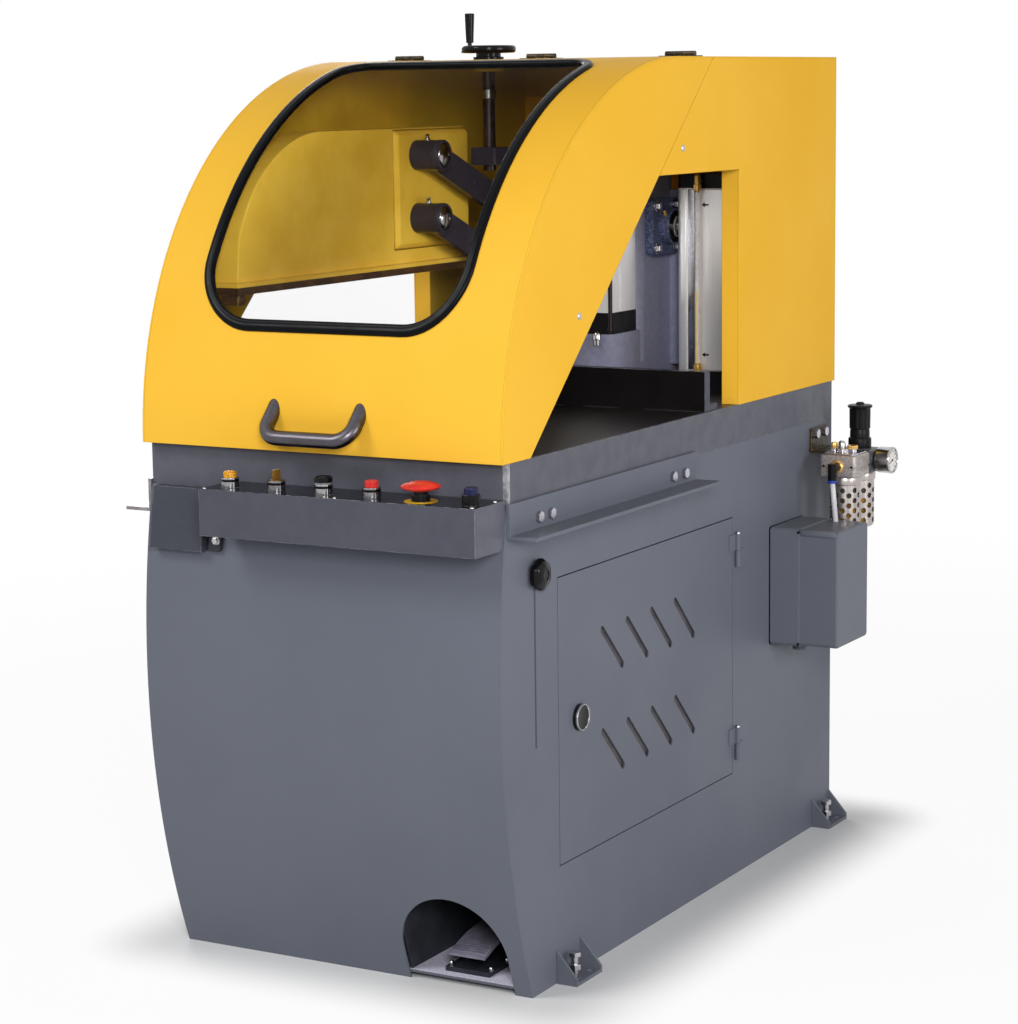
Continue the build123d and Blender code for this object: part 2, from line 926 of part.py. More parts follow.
def door_fixed_hinge(z):
    middle = z + door_hinge_length / 2
    leaf = block(half_width, half_width + hinge_leaf_sheet, door_axis_y, door_axis_y + hinge_leaf,
                 z, middle)
    leaf += upright(door_axis_x, door_axis_y, z, middle, knuckle_radius)
    return leaf + upright(door_axis_x, door_axis_y, z, z + door_hinge_length, hinge_pin_radius)


def hinge_leaves():
    hood = [fixed_leaf(x) for x in hinge_places()]
    door = [door_fixed_hinge(z) for z in door_hinge_z()]
    return solids_of(*hood, *door)


def hood_hinge_moving_leaves():
    return solids_of(*[moving_leaf(x) for x in hinge_places()])


def hood_handle():
    z_end = hood_base + handle_rise
    y_end = hood_centre_y - math.sqrt(hood_rise ** 2 - handle_rise ** 2)
    half = handle_span / 2
    leg_top = (y_end + handle_reach / 2, z_end + handle_drop / 2)
    grip = (y_end - handle_reach, z_end - handle_drop)
    path = FilletPolyline((-half, *leg_top), (-half, *grip), (half, *grip), (half, *leg_top),
                          radius=handle_corner)
    section = Plane(origin=path @ 0, z_dir=path % 0) * Circle(handle_radius)
    return sweep(section, path=path) - hood_layer(0, hood_rise / 2, -hood_half, hood_half)


# Door

def side_door():
    low, high = door_outline(0)
    x_in = half_width - door_sheet
    door = block(x_in, half_width, low[0], high[0], low[1], high[1])
    slot = Rot(0, 90, 0) * Rot(0, 0, 45) * extrude(SlotOverall(louver_length, louver_width),
                                                   2 * door_sheet, both=True)
    for rise in louver_rises:
        for i in range(louver_count):
            y_slot = y_front + louver_first_set + i * louver_pitch
            door -= Pos(half_width, y_slot, door_low + rise) * slot
    y_latch = y_front + latch_set
    door -= crosswise(x_in - 1, half_width + 1, y_latch, latch_height, latch_body_radius + run_fit)
    for z in door_hinge_z():
        middle = z + door_hinge_length / 2 + slide_gap
        top = z + door_hinge_length
        door += block(half_width, half_width + hinge_leaf_sheet, door_axis_y - hinge_leaf,
                      door_axis_y, middle, top)
        door += upright(door_axis_x, door_axis_y, middle, top, knuckle_radius)
        door -= upright(door_axis_x, door_axis_y, z, top + 1, hinge_pin_radius + run_fit)
    return door


def door_latch():
    y = y_front + latch_set
    x_tongue = half_width - cabinet_sheet - latch_tongue_gap
    latch = crosswise(half_width + link_fit, half_width + latch_flange, y, latch_height, latch_radius)
    latch += crosswise(x_tongue - latch_tongue_sheet, half_width + latch_flange, y, latch_height,
                       latch_body_radius)
    half = latch_tongue_width / 2
    return latch + block(x_tongue - latch_tongue_sheet, x_tongue, y - half, y + half,
                         latch_height - latch_tongue_length, latch_height)


def stroke_knob():
    y = y_front + knob_set
    x_face = half_width + slide_gap
    lobe = 2 * knob_radius / knob_lobes
    grip = Circle(knob_radius - lobe / 2)
    for i in range(knob_lobes):
        turn = 2 * math.pi * i / knob_lobes
        reach = knob_radius - lobe
        grip += Pos(reach * math.cos(turn), reach * math.sin(turn)) * Circle(lobe)
    knob = Pos(x_face, y, knob_height) * Rot(0, 90, 0) * extrude(grip, knob_depth)
    x_nut = half_width - cabinet_sheet - slide_gap
    knob += crosswise(x_nut - knob_nut_depth, x_face + 1, y, knob_height, knob_stem_radius)
    return knob + block(x_nut - knob_nut_depth, x_nut, y - knob_nut_half, y + knob_nut_half,
                        knob_height - knob_nut_half, knob_height + knob_nut_half)


# Controls

def button_x(index):
    return button_first_x + index * button_pitch


def control_shell():
    y_from = y_front + box_front_set
    y_to = y_front + table_front_set
    shell = block(box_left, box_right, y_from, y_to, box_top - box_height, box_top)
    shell -= block(box_left + box_sheet, box_right - box_sheet, y_from + box_sheet, y_to + 1,
                   box_top - box_height + box_sheet, box_top - box_sheet)
    for i in range(button_count):
        shell -= upright(button_x(i), button_y, box_top - 2 * box_sheet, box_top + 1,
                         stem_radius + run_fit)
    return shell - behind_barrel(0, box_left - 1, box_right + 1)


def side_cover():
    y_from = y_front + belly_set - 2 * side_cover_depth
    y_to = y_front + table_front_set
    cover = block(side_cover_left, side_cover_right, y_from, y_to, side_cover_low, cabinet_height)
    cover &= behind_barrel(-side_cover_depth, side_cover_left, side_cover_right)
    return cover - behind_barrel(0, side_cover_left - 1, side_cover_right + 1)


def bezel(index):
    top = box_top + (mushroom_bezel_height if index == 4 else bezel_height)
    ring = upright(button_x(index), button_y, box_top, top, bezel_radius)
    return ring - upright(button_x(index), button_y, box_top - 1, top + 1, cap_radius + slide_gap)


def control_box():
    return solids_of(control_shell(), side_cover(), *[bezel(i) for i in range(button_count)])


def push_button(index):
    x = button_x(index)
    z = box_top + cap_lift
    cap = round_top(upright(x, button_y, z, z + cap_height, cap_radius), cap_radius / 5)
    return cap + upright(x, button_y, z - stem_length, z + 1, stem_radius)


def mode_selector():
    x = button_x(1)
    z = box_top + slide_gap
    top = z + cap_lift + cap_height
    knob = upright(x, button_y, z, top, cap_radius)
    knob += block(x - selector_width / 2, x + selector_width / 2, button_y - selector_length / 2,
                  button_y + selector_length / 2, top, top + selector_height)
    return knob + upright(x, button_y, z - stem_length, z + 1, stem_radius)


def emergency_stop():
    x = button_x(4)
    z = box_top + mushroom_lift
    z_neck = box_top + mushroom_bezel_height / 2
    head = round_top(upright(x, button_y, z, z + mushroom_height, mushroom_radius),
                     mushroom_height / 2)
    neck = upright(x, button_y, z_neck, z + 1, cap_radius)
    return head + neck + upright(x, button_y, z_neck - stem_length, z_neck + 1, stem_radius)


# Electrical box and air unit on the right wall

def junction_box():
    y_from = y_front + junction_set
    y_to = y_from + junction_length
    z_to = junction_low + junction_height
    x_mid = half_width + junction_base_depth
    x_to = half_width + junction_depth
    base = block(half_width, x_mid, y_from, y_to, junction_low, z_to)
    base = fillet(base.edges().filter_by(Axis.X), junction_round)
    gland_x = half_width + junction_base_depth / 2
    gland_y = (y_from + y_to) / 2
    inset = junction_wall + junction_step
    base -= block(half_width + junction_wall, x_mid + 1, y_from + inset, y_to - inset,
                  junction_low + inset, z_to - inset)
    base += upright(gland_x, gland_y, junction_low - gland_length, junction_low,
                    gland_radius + gland_wall)
    base -= upright(gland_x, gland_y, junction_low - gland_length - 1, junction_low + inset + 1,
                    gland_radius)
    lid = block(x_mid, x_to, y_from + junction_step, y_to - junction_step,
                junction_low + junction_step, z_to - junction_step)
    lid = fillet(lid.edges().filter_by(Axis.X), junction_round)
    lid = fillet(lid.faces().sort_by(Axis.X)[-1].edges(), junction_round / 2)
    lid -= block(x_mid - 1, x_to - junction_wall, y_from + inset, y_to - inset,
                 junction_low + inset, z_to - inset)
    return solids_of(base, lid)


def air_bracket():
    y_from = y_front + air_bracket_set
    y_to = y_from + air_bracket_length
    plate = block(half_width, half_width + air_bracket_sheet, y_from, y_to, air_bracket_low,
                  air_bracket_top)
    plate += block(half_width, air_left, y_from, y_to, air_bracket_low,
                   air_bracket_low + air_bracket_sheet)
    return plate + block(air_left - air_bracket_sheet, air_left, y_from, y_to, air_body_low,
                         air_bracket_low)


def air_block(y):
    half = air_body_length / 2
    body = block(air_left, air_left + air_body_width, y - half, y + half, air_body_low, air_top)
    return fillet(body.edges().filter_by(Axis.Z), air_body_round)


def front_air_body():
    return air_block(air_y)


def rear_air_body():
    bonnet_top = air_top + bonnet_height
    body = air_block(regulator_y)
    body += upright(air_x, regulator_y, air_top, bonnet_top, bonnet_radius)
    body += upright(air_x, regulator_y, bonnet_top, bonnet_top + regulator_height / 2, stem_radius)
    y_end = regulator_y + air_body_length / 2
    z_mid = air_body_low + air_body_height / 2
    return body - lengthwise(y_end - air_inlet_length, y_end + 1, air_x, z_mid, air_inlet_radius)


def air_bodies():
    screws = []
    for x_way, y_way in ((-1, -1), (0, 1), (1, 0)):
        x = air_x + x_way * air_screw_spread
        y = air_y + y_way * air_screw_spread
        screws.append(upright(x, y, air_top, air_top + air_screw_height, air_screw_radius))
    return solids_of(front_air_body(), rear_air_body(), *screws)


def air_bowl(y):
    z_from = air_body_low - bowl_length
    bowl = upright(air_x, y, z_from, air_body_low, bowl_radius)
    bowl = fillet(bowl.edges().filter_by(GeomType.CIRCLE).group_by(Axis.Z)[0], bowl_radius / 3)
    bowl -= upright(air_x, y, z_from + bowl_radius / 3, air_body_low - bowl_wall,
                    bowl_radius - bowl_wall)
    low = z_from + bowl_radius / 3
    step = (bowl_length - bowl_collar - bowl_radius / 3) / bowl_hole_rows
    hole = Cylinder(bowl_hole_radius, bowl_radius / 2, align=(Align.CENTER, Align.CENTER, Align.MIN))
    holes = []
    for row in range(bowl_hole_rows):
        z = low + step * (row + 0.5)
        for i in range(bowl_hole_count):
            turn = 360 * (i + 0.5 * (row % 2)) / bowl_hole_count
            reach = bowl_radius - bowl_radius / 4
            holes.append(Pos(air_x, y, z) * Rot(0, 0, turn) * Pos(reach, 0, 0) * Rot(0, 90, 0) * hole)
    return bowl - holes


def bowl_guards():
    return solids_of(air_bowl(air_y), air_bowl(regulator_y))


def regulator_knob():
    bonnet_top = air_top + bonnet_height
    z_from = bonnet_top + slide_gap
    z_to = z_from + regulator_height
    knob = upright(air_x, regulator_y, z_from, z_to, regulator_radius)
    knob = chamfer(knob.edges().filter_by(GeomType.CIRCLE).group_by(Axis.Z)[-1], regulator_radius / 6)
    knob += upright(air_x, regulator_y, z_to, z_to + regulator_nub_height, regulator_nub_radius)
    z_hole = bonnet_top + regulator_height / 2 + slide_gap
    return knob - upright(air_x, regulator_y, z_from - 1, z_hole, stem_radius + run_fit)


def pressure_gauge():
    x_from = air_left + air_body_width
    x_case = x_from + gauge_stem
    z = air_body_low + gauge_rise
    gauge = crosswise(x_from, x_case, regulator_y, z, gauge_stem_radius)
    return gauge + crosswise(x_case, x_case + gauge_depth, regulator_y, z, gauge_radius)


def air_line():
    y_face = air_y - air_body_length / 2
    y = y_face - air_elbow_reach
    z = air_body_low + air_body_height / 2
    z_tube = z - air_elbow_drop
    elbow = lengthwise(y, y_face, air_x, z, air_elbow_radius)
    elbow += upright(air_x, y, z_tube, z + air_elbow_radius, air_elbow_radius)
    lid_top = junction_low + junction_height - junction_step
    path = Line((air_x, y, z_tube), (air_x + air_tube_slant, y, lid_top - air_tube_radius))
    tube = sweep(Plane(origin=path @ 0, z_dir=path % 0) * Circle(air_tube_radius), path=path)
    reach = 4 * air_tube_radius
    tube -= block(air_x - reach, air_x + reach, y - reach, y + reach, lid_top - reach, lid_top)
    return solids_of(elbow, tube - elbow)


# Foot switch

def foot_switch_base():
    reach = pedal_lug_gap + pedal_lug
    rear = pedal_pin_y + pedal_sheet * 1.5
    base = block(pedal_left - reach, pedal_right + reach, pedal_front, rear, floor_top,
                 floor_top + pedal_base_sheet)
    for x_from in (pedal_left - reach, pedal_right + pedal_lug_gap):
        lug = block(x_from, x_from + pedal_lug, pedal_pin_y - pedal_sheet * 1.5, rear,
                    floor_top + pedal_base_sheet, pedal_pin_z + pedal_sheet)
        base += lug - crosswise(x_from - 1, x_from + pedal_lug + 1, pedal_pin_y, pedal_pin_z,
                                pedal_pin_radius + run_fit)
    return base


def foot_pedal():
    z_front = floor_top + pedal_front_lift
    plate = polygon_slab([(pedal_front, z_front), (pedal_front, z_front + pedal_sheet),
                          (pedal_pin_y, pedal_pin_z + pedal_sheet), (pedal_pin_y, pedal_pin_z)],
                         pedal_left, pedal_right)
    plate += crosswise(pedal_left, pedal_right, pedal_pin_y, pedal_pin_z, pedal_sheet)
    reach = pedal_lug_gap + pedal_lug
    return plate + crosswise(pedal_left - reach, pedal_right + reach, pedal_pin_y, pedal_pin_z,
                             pedal_pin_radius)


# Column, arms and guard

def column():
    y_mid = y_front + column_set + column_depth / 2
    face = RectangleRounded(column_width, column_depth, column_round)
    face -= RectangleRounded(column_width - 2 * column_wall, column_depth - 2 * column_wall,
                             column_round - column_wall)
    post = Pos(column_x, y_mid, pedestal_top) * extrude(face, column_top - pedestal_top)
    post -= crosswise(column_left - 1, column_right + 1, y_pivot, z_pivot, shaft_radius + slide_gap)
    y_from = y_front + pedestal_set
    y_to = y_front + pedestal_rear_set
    tray = block(pedestal_left, column_right, y_from, y_to, table_height, pedestal_top)
    tray -= block(pedestal_left + column_wall, column_right - column_wall, y_from + column_wall,
                  y_to - column_wall, table_height - 1, pedestal_top - column_wall)
    plinth_half = tank_size / 2 + plinth_margin
    plinth = block(left_tank_x - plinth_half, left_tank_x + plinth_half, left_tank_y - plinth_half,
                   y_front + column_set, pedestal_top, plinth_top)
    stub_end = arm_x - rear_hub_length / 2 - slide_gap
    stub = crosswise(stub_end, column_left + column_wall, y_pivot, z_pivot - pivot_spacing,
                     shaft_radius)
    return post + tray + plinth + stub


def pivot_bearing():
    half = bearing_flange / 2
    flange = block(column_right, column_right + bearing_sheet, y_pivot - half, y_pivot + half,
                   z_pivot - half, z_pivot + half)
    flange = fillet(flange.edges().filter_by(Axis.X), bearing_flange / 9)
    x_face = column_right + bearing_sheet
    flange += crosswise(x_face, x_face + bearing_boss, y_pivot, z_pivot, bearing_boss_radius)
    return flange - crosswise(column_right - 1, x_face + bearing_boss + 1, y_pivot, z_pivot,
                              shaft_radius + run_fit)


def pivot_bearings():
    right = pivot_bearing()
    left = Pos(2 * column_x, 0, 0) * mirrored(right)
    return solids_of(right, left)


def arm(drop, rear_bore, front_bore):
    z_front = z_hub - drop
    z_rear = z_pivot - drop
    bar = link_bar(y_hub, z_front, y_pivot, z_rear, arm_height, arm_left, arm_right)
    hub = crosswise(hub_left, hub_right, y_hub, z_front, hub_radius)
    bar += fillet(hub.edges().filter_by(GeomType.CIRCLE).group_by(Axis.X)[-1], hub_dome)
    rear = rear_hub_length / 2
    bar += crosswise(arm_x - rear, arm_x + rear, y_pivot, z_rear, rear_hub_radius)
    bar -= crosswise(hub_left - 1, arm_left + slide_gap, y_hub, z_front, front_bore)
    return bar - crosswise(arm_x - rear - 1, arm_x + rear + 1, y_pivot, z_rear, rear_bore)


def upper_arm():
    stud = crosswise(arm_right, hold_x + eye_width, hold_y, hold_z, hold_pin_radius)
    return arm(0, shaft_radius, guard_pin_radius + run_fit) + stud


def lower_arm():
    return arm(pivot_spacing, shaft_radius + run_fit, guard_pin_radius + link_fit)


def pivot_shaft():
    return crosswise(arm_x - rear_hub_length / 2, column_right + bearing_sheet + bearing_boss,
                     y_pivot, z_pivot, shaft_radius)


def guard_outline(inset, z_from):
    slant = math.sqrt(0.5)
    front = (y_front + guard_front_set + inset, z_from)
    knee = (y_front + guard_knee_set + inset, table_height + guard_knee_rise)
    bend = (y_front + guard_bend_set + inset * slant, table_height + guard_bend_rise - inset * slant)
    crown = (y_front + guard_crown_set, table_height + guard_top_rise - inset)
    rear = (y_front + guard_rear_set - inset, crown[1])
    outline = Line(front, knee) + ThreePointArc(knee, bend, crown)
    return outline + Polyline(crown, rear, (rear[0], z_from), front)


def blade_guard():
    y_from = y_front + guard_front_set - guard_lip
    y_to = y_front + guard_rear_set
    z_strip = guard_low - guard_strip
    shell = slab(guard_outline(0, guard_low), guard_left, guard_right)
    shell += block(guard_left - guard_lip, guard_right + guard_lip, y_from, y_to, z_strip,
                   guard_low + guard_lip_height)
    shell -= slab(guard_outline(guard_wall, z_strip - 1), guard_left + guard_wall,
                  guard_right - guard_wall)
    pad = block(guard_right, guard_right + guard_pad, y_front + guard_pad_set, y_to,
                table_height + guard_pad_low_rise, table_height + guard_pad_high_rise)
    front_edge = pad.faces().sort_by(Axis.X)[-1].edges().sort_by(Axis.Y)[0]
    shell += chamfer(front_edge, guard_pad * 0.9)
    for z in (z_hub, z_hub - pivot_spacing):
        shell += crosswise(guard_right, arm_left, y_hub, z, guard_pin_radius)
    x_bumper = guard_right + guard_lip - bumper_inset
    y_bumper = y_from + bumper_inset
    shell += block(x_bumper - bumper_width, x_bumper, y_bumper, y_bumper + bumper_length,
                   z_strip - bumper_height, z_strip)
    ball = Pos(x_bumper, y_bumper + bumper_length / 2, z_strip - bumper_height / 2) * Sphere(bumper_ball)
    return shell + ball


# Oil tanks

def profile_tube(height):
    face = RectangleRounded(tank_size, tank_size, tank_round) - Circle(tank_bore)
    groove = Pos(groove_offset, tank_size / 2 - groove_depth / 2) * Rectangle(groove_width, groove_depth)
    for turn in (0, 90, 180, 270):
        face -= Rot(0, 0, turn) * groove
    return extrude(face, height)


def tank_cap_block(x, y, z_from, z_to):
    return Pos(x, y, z_from) * extrude(RectangleRounded(tank_size, tank_size, tank_round), z_to - z_from)


def oil_tanks():
    right_low = table_height + tank_cap
    left_low = plinth_top + tank_cap
    right = Pos(right_tank_x, right_tank_y, right_low) * profile_tube(right_tank_top - right_low)
    left = Pos(left_tank_x, left_tank_y, left_low) * profile_tube(left_tank_top - left_low)
    return solids_of(right, left)


def tank_caps():
    return solids_of(
        tank_cap_block(right_tank_x, right_tank_y, table_height, table_height + tank_cap),
        tank_cap_block(right_tank_x, right_tank_y, right_tank_top, right_tank_top + tank_top_cap),
        tank_cap_block(left_tank_x, left_tank_y, plinth_top, plinth_top + tank_cap),
        tank_cap_block(left_tank_x, left_tank_y, left_tank_top, left_tank_top + tank_top_cap))


def sight_gauge():
    y_face = y_front + right_tank_set
    y_tube = y_face - sight_reach
    sight_high = right_tank_top + tank_top_cap / 2
    gauge = upright(sight_x, y_tube, sight_low, sight_high, sight_radius)
    for z in (sight_low, sight_high):
        gauge += upright(sight_x, y_tube, z - fitting_half, z + fitting_half, fitting_radius)
        gauge += lengthwise(y_tube, y_face, sight_x, z, fitting_radius * 0.7)
    return gauge + Pos(sight_x, y_tube, sight_high + fitting_half) * Sphere(fitting_radius)


# Air cylinders and their rods

def hold_down_barrel():
    z_to = table_height + hold_height
    bore_from = z_to - hold_rod_inside - hold_rod_travel
    barrel = upright(hold_x, hold_y, table_height, z_to, hold_radius)
    return barrel - upright(hold_x, hold_y, bore_from, z_to + 1, lift_rod_radius + run_fit)


def saw_lift_barrel():
    bore_from = lift_top - lift_rod_inside - lift_rod_radius
    barrel = upright(saw_arm_x, lift_y, shelf_top, lift_top, lift_radius)
    return barrel - upright(saw_arm_x, lift_y, bore_from, lift_top + 1, lift_rod_radius + run_fit)


def air_cylinders():
    return solids_of(hold_down_barrel(), saw_lift_barrel())


def hold_down_rod():
    z_from = table_height + hold_height - hold_rod_inside
    return slotted_rod(hold_x, hold_y, hold_z, z_from, lift_rod_radius, hold_pin_radius)


def saw_lift_rod():
    return slotted_rod(saw_arm_x, lift_y, lift_z, lift_top - lift_rod_inside, lift_rod_radius,
                       lift_pin_radius)


# Handwheel stop

def handwheel():
    z_low = hood_top + bush_height + slide_gap
    wheel = upright(wheel_x, wheel_y, wheel_z - wheel_rim, wheel_z + wheel_rim, wheel_radius)
    wheel -= upright(wheel_x, wheel_y, wheel_z - wheel_rim - 1, wheel_z + wheel_rim + 1,
                     wheel_radius - 2 * wheel_rim)
    wheel = fillet(wheel.edges().filter_by(GeomType.CIRCLE), wheel_rim * 0.8)
    wheel += upright(wheel_x, wheel_y, wheel_z - wheel_web, wheel_z + wheel_web,
                     wheel_radius - wheel_rim)
    wheel += upright(wheel_x, wheel_y, z_low, z_low + wheel_hub_height, wheel_hub_radius)
    x_grip = wheel_x - grip_orbit
    z_pin = wheel_z + wheel_rim + grip_neck + grip_length - grip_end
    wheel += upright(x_grip, wheel_y, wheel_z, z_pin, grip_pin_radius)
    wheel += upright(wheel_x, wheel_y, arm_edge_z + screw_end_gap, z_low, screw_radius)
    z_collar = hood_top - screw_collar_drop
    return wheel + upright(wheel_x, wheel_y, z_collar, z_collar + screw_collar_depth,
                           screw_collar_radius)


def handwheel_grip():
    x = wheel_x - grip_orbit
    z_from = wheel_z + wheel_rim + grip_neck
    taper = Cone(grip_low_radius, grip_high_radius, grip_length,
                 align=(Align.CENTER, Align.CENTER, Align.MIN))
    grip = round_top(Pos(x, wheel_y, z_from) * taper, grip_pin_radius / 2)
    z_hole = z_from + grip_length - grip_end + slide_gap
    return grip - upright(x, wheel_y, z_from - 1, z_hole, grip_pin_radius + run_fit)


def stop_nut():
    half = nut_size / 2
    nut = block(wheel_x - half, wheel_x + half, wheel_y - half, wheel_y + half, nut_low,
                nut_low + nut_height)
    nut = fillet(nut.edges().filter_by(Axis.Z), nut_size / 12)
    return nut - upright(wheel_x, wheel_y, nut_low - 1, nut_low + nut_height + 1, screw_radius + run_fit)


# Saw unit

def saw_arm():
    frame = crosswise(saw_arm_left, motor_face, y_saw_pivot, z_saw_pivot, saw_tube_radius)
    frame += crosswise(saw_arm_left, saw_arm_right, y_spindle, z_spindle, spindle_housing_radius)
    for x_from in (saw_arm_left, saw_arm_right - saw_arm_sheet):
        frame += link_bar(y_spindle, z_spindle, y_saw_pivot, z_saw_pivot, saw_arm_height, x_from,
                          x_from + saw_arm_sheet)
    frame += crosswise(saw_arm_left, saw_arm_right, lift_y, lift_z, lift_pin_radius)
    plate_from = motor_face - motor_plate
    frame += link_bar(y_saw_pivot, z_saw_pivot, y_motor, z_motor, saw_arm_height, plate_from, motor_face)
    frame += crosswise(plate_from, motor_face, y_motor, z_motor, motor_radius)
    frame -= crosswise(plate_from - 1, motor_face + 1, y_motor, z_motor, motor_shaft_radius + slide_gap)
    frame -= crosswise(saw_arm_left - 1, motor_face + 1, y_saw_pivot, z_saw_pivot,
                       saw_pivot_radius + run_fit)
    return frame - crosswise(saw_arm_left - 1, saw_arm_right + 1, y_spindle, z_spindle,
                             blade_bore + run_fit)


def motor():
    face = Circle(motor_core_radius)
    for i in range(motor_fins):
        fin = Rectangle(motor_radius, motor_fin_sheet, align=(Align.MIN, Align.CENTER))
        face += Rot(0, 0, 360 * i / motor_fins) * fin
    shell = Pos(motor_face, y_motor, z_motor) * Rot(0, 90, 0) * extrude(face, motor_length)
    return shell - crosswise(motor_face - 1, motor_face + motor_bearing + 1, y_motor, z_motor,
                             motor_shaft_radius + run_fit)


def motor_shaft():
    shaft = crosswise(pulley_left, motor_face + motor_bearing, y_motor, z_motor, motor_shaft_radius)
    return shaft + crosswise(pulley_left, pulley_right, y_motor, z_motor, pulley_radius)


def saw_blade():
    outline = []
    step = 2 * math.pi / blade_teeth
    gullet = blade_radius - tooth_depth
    for i in range(blade_teeth):
        turn = (i + 0.35) * step
        outline.append((blade_radius * math.cos(i * step), blade_radius * math.sin(i * step)))
        outline.append((gullet * math.cos(turn), gullet * math.sin(turn)))
    disc = make_face(Polyline(*outline, close=True)) - Circle(blade_bore)
    return Pos(blade_x - blade_sheet / 2, y_spindle, z_spindle) * Rot(0, 90, 0) * extrude(
        disc, blade_sheet)


def blade_spindle():
    blade_left = blade_x - blade_sheet / 2
    blade_right = blade_x + blade_sheet / 2
    spindle = crosswise(blade_left - flange_sheet, pulley_right, y_spindle, z_spindle, blade_bore)
    spindle += crosswise(blade_left - flange_sheet, blade_left, y_spindle, z_spindle, flange_radius)
    spindle += crosswise(blade_right, saw_arm_left - flange_gap, y_spindle, z_spindle, flange_radius)
    return spindle + crosswise(pulley_left, pulley_right, y_spindle, z_spindle, pulley_radius)


def belt_loop(radius):
    turn = math.atan2(z_motor - z_spindle, y_motor - y_spindle)
    side = (-radius * math.sin(turn), radius * math.cos(turn))
    reach = (radius * math.cos(turn), radius * math.sin(turn))
    upper_front = (y_spindle + side[0], z_spindle + side[1])
    lower_front = (y_spindle - side[0], z_spindle - side[1])
    upper_rear = (y_motor + side[0], z_motor + side[1])
    lower_rear = (y_motor - side[0], z_motor - side[1])
    outline = Line(upper_front, upper_rear)
    outline += ThreePointArc(upper_rear, (y_motor + reach[0], z_motor + reach[1]), lower_rear)
    outline += Line(lower_rear, lower_front)
    outline += ThreePointArc(lower_front, (y_spindle - reach[0], z_spindle - reach[1]), upper_front)
    return outline


def drive_belt():
    x_from = pulley_x - belt_width / 2
    x_to = pulley_x + belt_width / 2
    inner = pulley_radius + link_fit
    return slab(belt_loop(inner + belt_sheet), x_from, x_to) - slab(belt_loop(inner), x_from - 1, x_to + 1)


# Write every piece to its own file

pieces = {
    "floor_plate": floor_plate(),
    "left_panel": left_panel(),
    "right_panel": right_panel(),
    "front_panel": front_panel(),
    "back_panel": back_panel(),
    "table_frame": table_frame(),
    "table_top": table_top(),
    "fence": fence(),
    "conveyor_rails": conveyor_rails(),
    "hex_bolts": hex_bolts(),
    "foot_brackets": foot_brackets(),
    "column": column(),
    "pivot_bearings": pivot_bearings(),
    "oil_tanks": oil_tanks(),
    "tank_caps": tank_caps(),
    "sight_gauge": sight_gauge(),
    "rear_hood_cover": rear_hood_cover(),
    "rear_hood_sides": rear_hood_sides(),
    "hinge_leaves": hinge_leaves(),
    "control_box": control_box(),
    "junction_box": junction_box(),
    "air_bracket": air_bracket(),
    "air_bodies": air_bodies(),
    "bowl_guards": bowl_guards(),
    "pressure_gauge": pressure_gauge(),
    "air_line": air_line(),
    "foot_switch_base": foot_switch_base(),
    "air_cylinders": air_cylinders(),
    "front_hood_skin": front_hood_skin(),
    "front_hood_sides": front_hood_sides(),
    "window_glass": window_glass(),
    "window_gasket": window_gasket(),
    "hood_handle": hood_handle(),
    "hood_hinge_moving_leaves": hood_hinge_moving_leaves(),
    "upper_arm": upper_arm(),
    "pivot_shaft": pivot_shaft(),
    "lower_arm": lower_arm(),
    "blade_guard": blade_guard(),
    "hold_down_rod": hold_down_rod(),
    "handwheel": handwheel(),
    "handwheel_grip": handwheel_grip(),
    "stop_nut": stop_nut(),
    "side_door": side_door(),
    "door_latch": door_latch(),
    "stroke_knob": stroke_knob(),
    "start_button": push_button(0),
    "mode_selector": mode_selector(),
    "ready_button": push_button(2),
    "stop_button": push_button(3),
    "emergency_stop": emergency_stop(),
    "reset_button": push_button(5),
    "foot_pedal": foot_pedal(),
    "regulator_knob": regulator_knob(),
    "saw_arm": saw_arm(),
    "motor": motor(),
    "motor_shaft": motor_shaft(),
    "saw_blade": saw_blade(),
    "blade_spindle": blade_spindle(),
    "drive_belt": drive_belt(),
    "saw_lift_rod": saw_lift_rod(),
}

os.makedirs("parts", exist_ok=True)
for name, solid in pieces.items():
    export_step(solid, f"parts/{name}.step")
    print(name, len(solid.solids()), round(solid.volume / 1000, 1))
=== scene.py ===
import math

import bmesh
import bpy
import numpy as np
from mathutils import Matrix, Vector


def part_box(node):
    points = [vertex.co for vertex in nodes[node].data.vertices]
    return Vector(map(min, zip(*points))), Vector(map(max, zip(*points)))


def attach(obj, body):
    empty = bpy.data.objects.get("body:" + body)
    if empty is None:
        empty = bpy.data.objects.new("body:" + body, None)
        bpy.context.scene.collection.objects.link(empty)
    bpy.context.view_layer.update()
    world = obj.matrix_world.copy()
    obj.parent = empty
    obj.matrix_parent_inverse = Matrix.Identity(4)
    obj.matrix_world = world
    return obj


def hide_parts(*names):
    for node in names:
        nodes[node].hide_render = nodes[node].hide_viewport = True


# Upcut saw: finishes, small fittings, studio and camera, all in the frame's own axes. Finishes, studio and
# camera are measured in metres, the fittings in millimetres.

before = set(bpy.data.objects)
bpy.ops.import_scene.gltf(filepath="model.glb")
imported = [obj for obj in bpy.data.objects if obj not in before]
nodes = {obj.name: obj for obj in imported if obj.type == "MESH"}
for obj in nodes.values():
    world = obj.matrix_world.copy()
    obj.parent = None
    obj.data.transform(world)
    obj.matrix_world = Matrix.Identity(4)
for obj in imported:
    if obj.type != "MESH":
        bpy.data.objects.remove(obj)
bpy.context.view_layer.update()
print("frame loaded with", len(nodes), "nodes")

mm = 0.001
rightward, forward, upright = (1, 0, 0), (0, -1, 0), (0, 0, 1)


# Colours are given as display values from 0 to 255 and turned into scene values.
def tone(red, green, blue):
    shade = np.array([red, green, blue]) / 255.0
    linear = np.where(shade <= 0.04045, shade / 12.92, ((shade + 0.055) / 1.055) ** 2.4)
    return (*[float(part) for part in linear], 1.0)


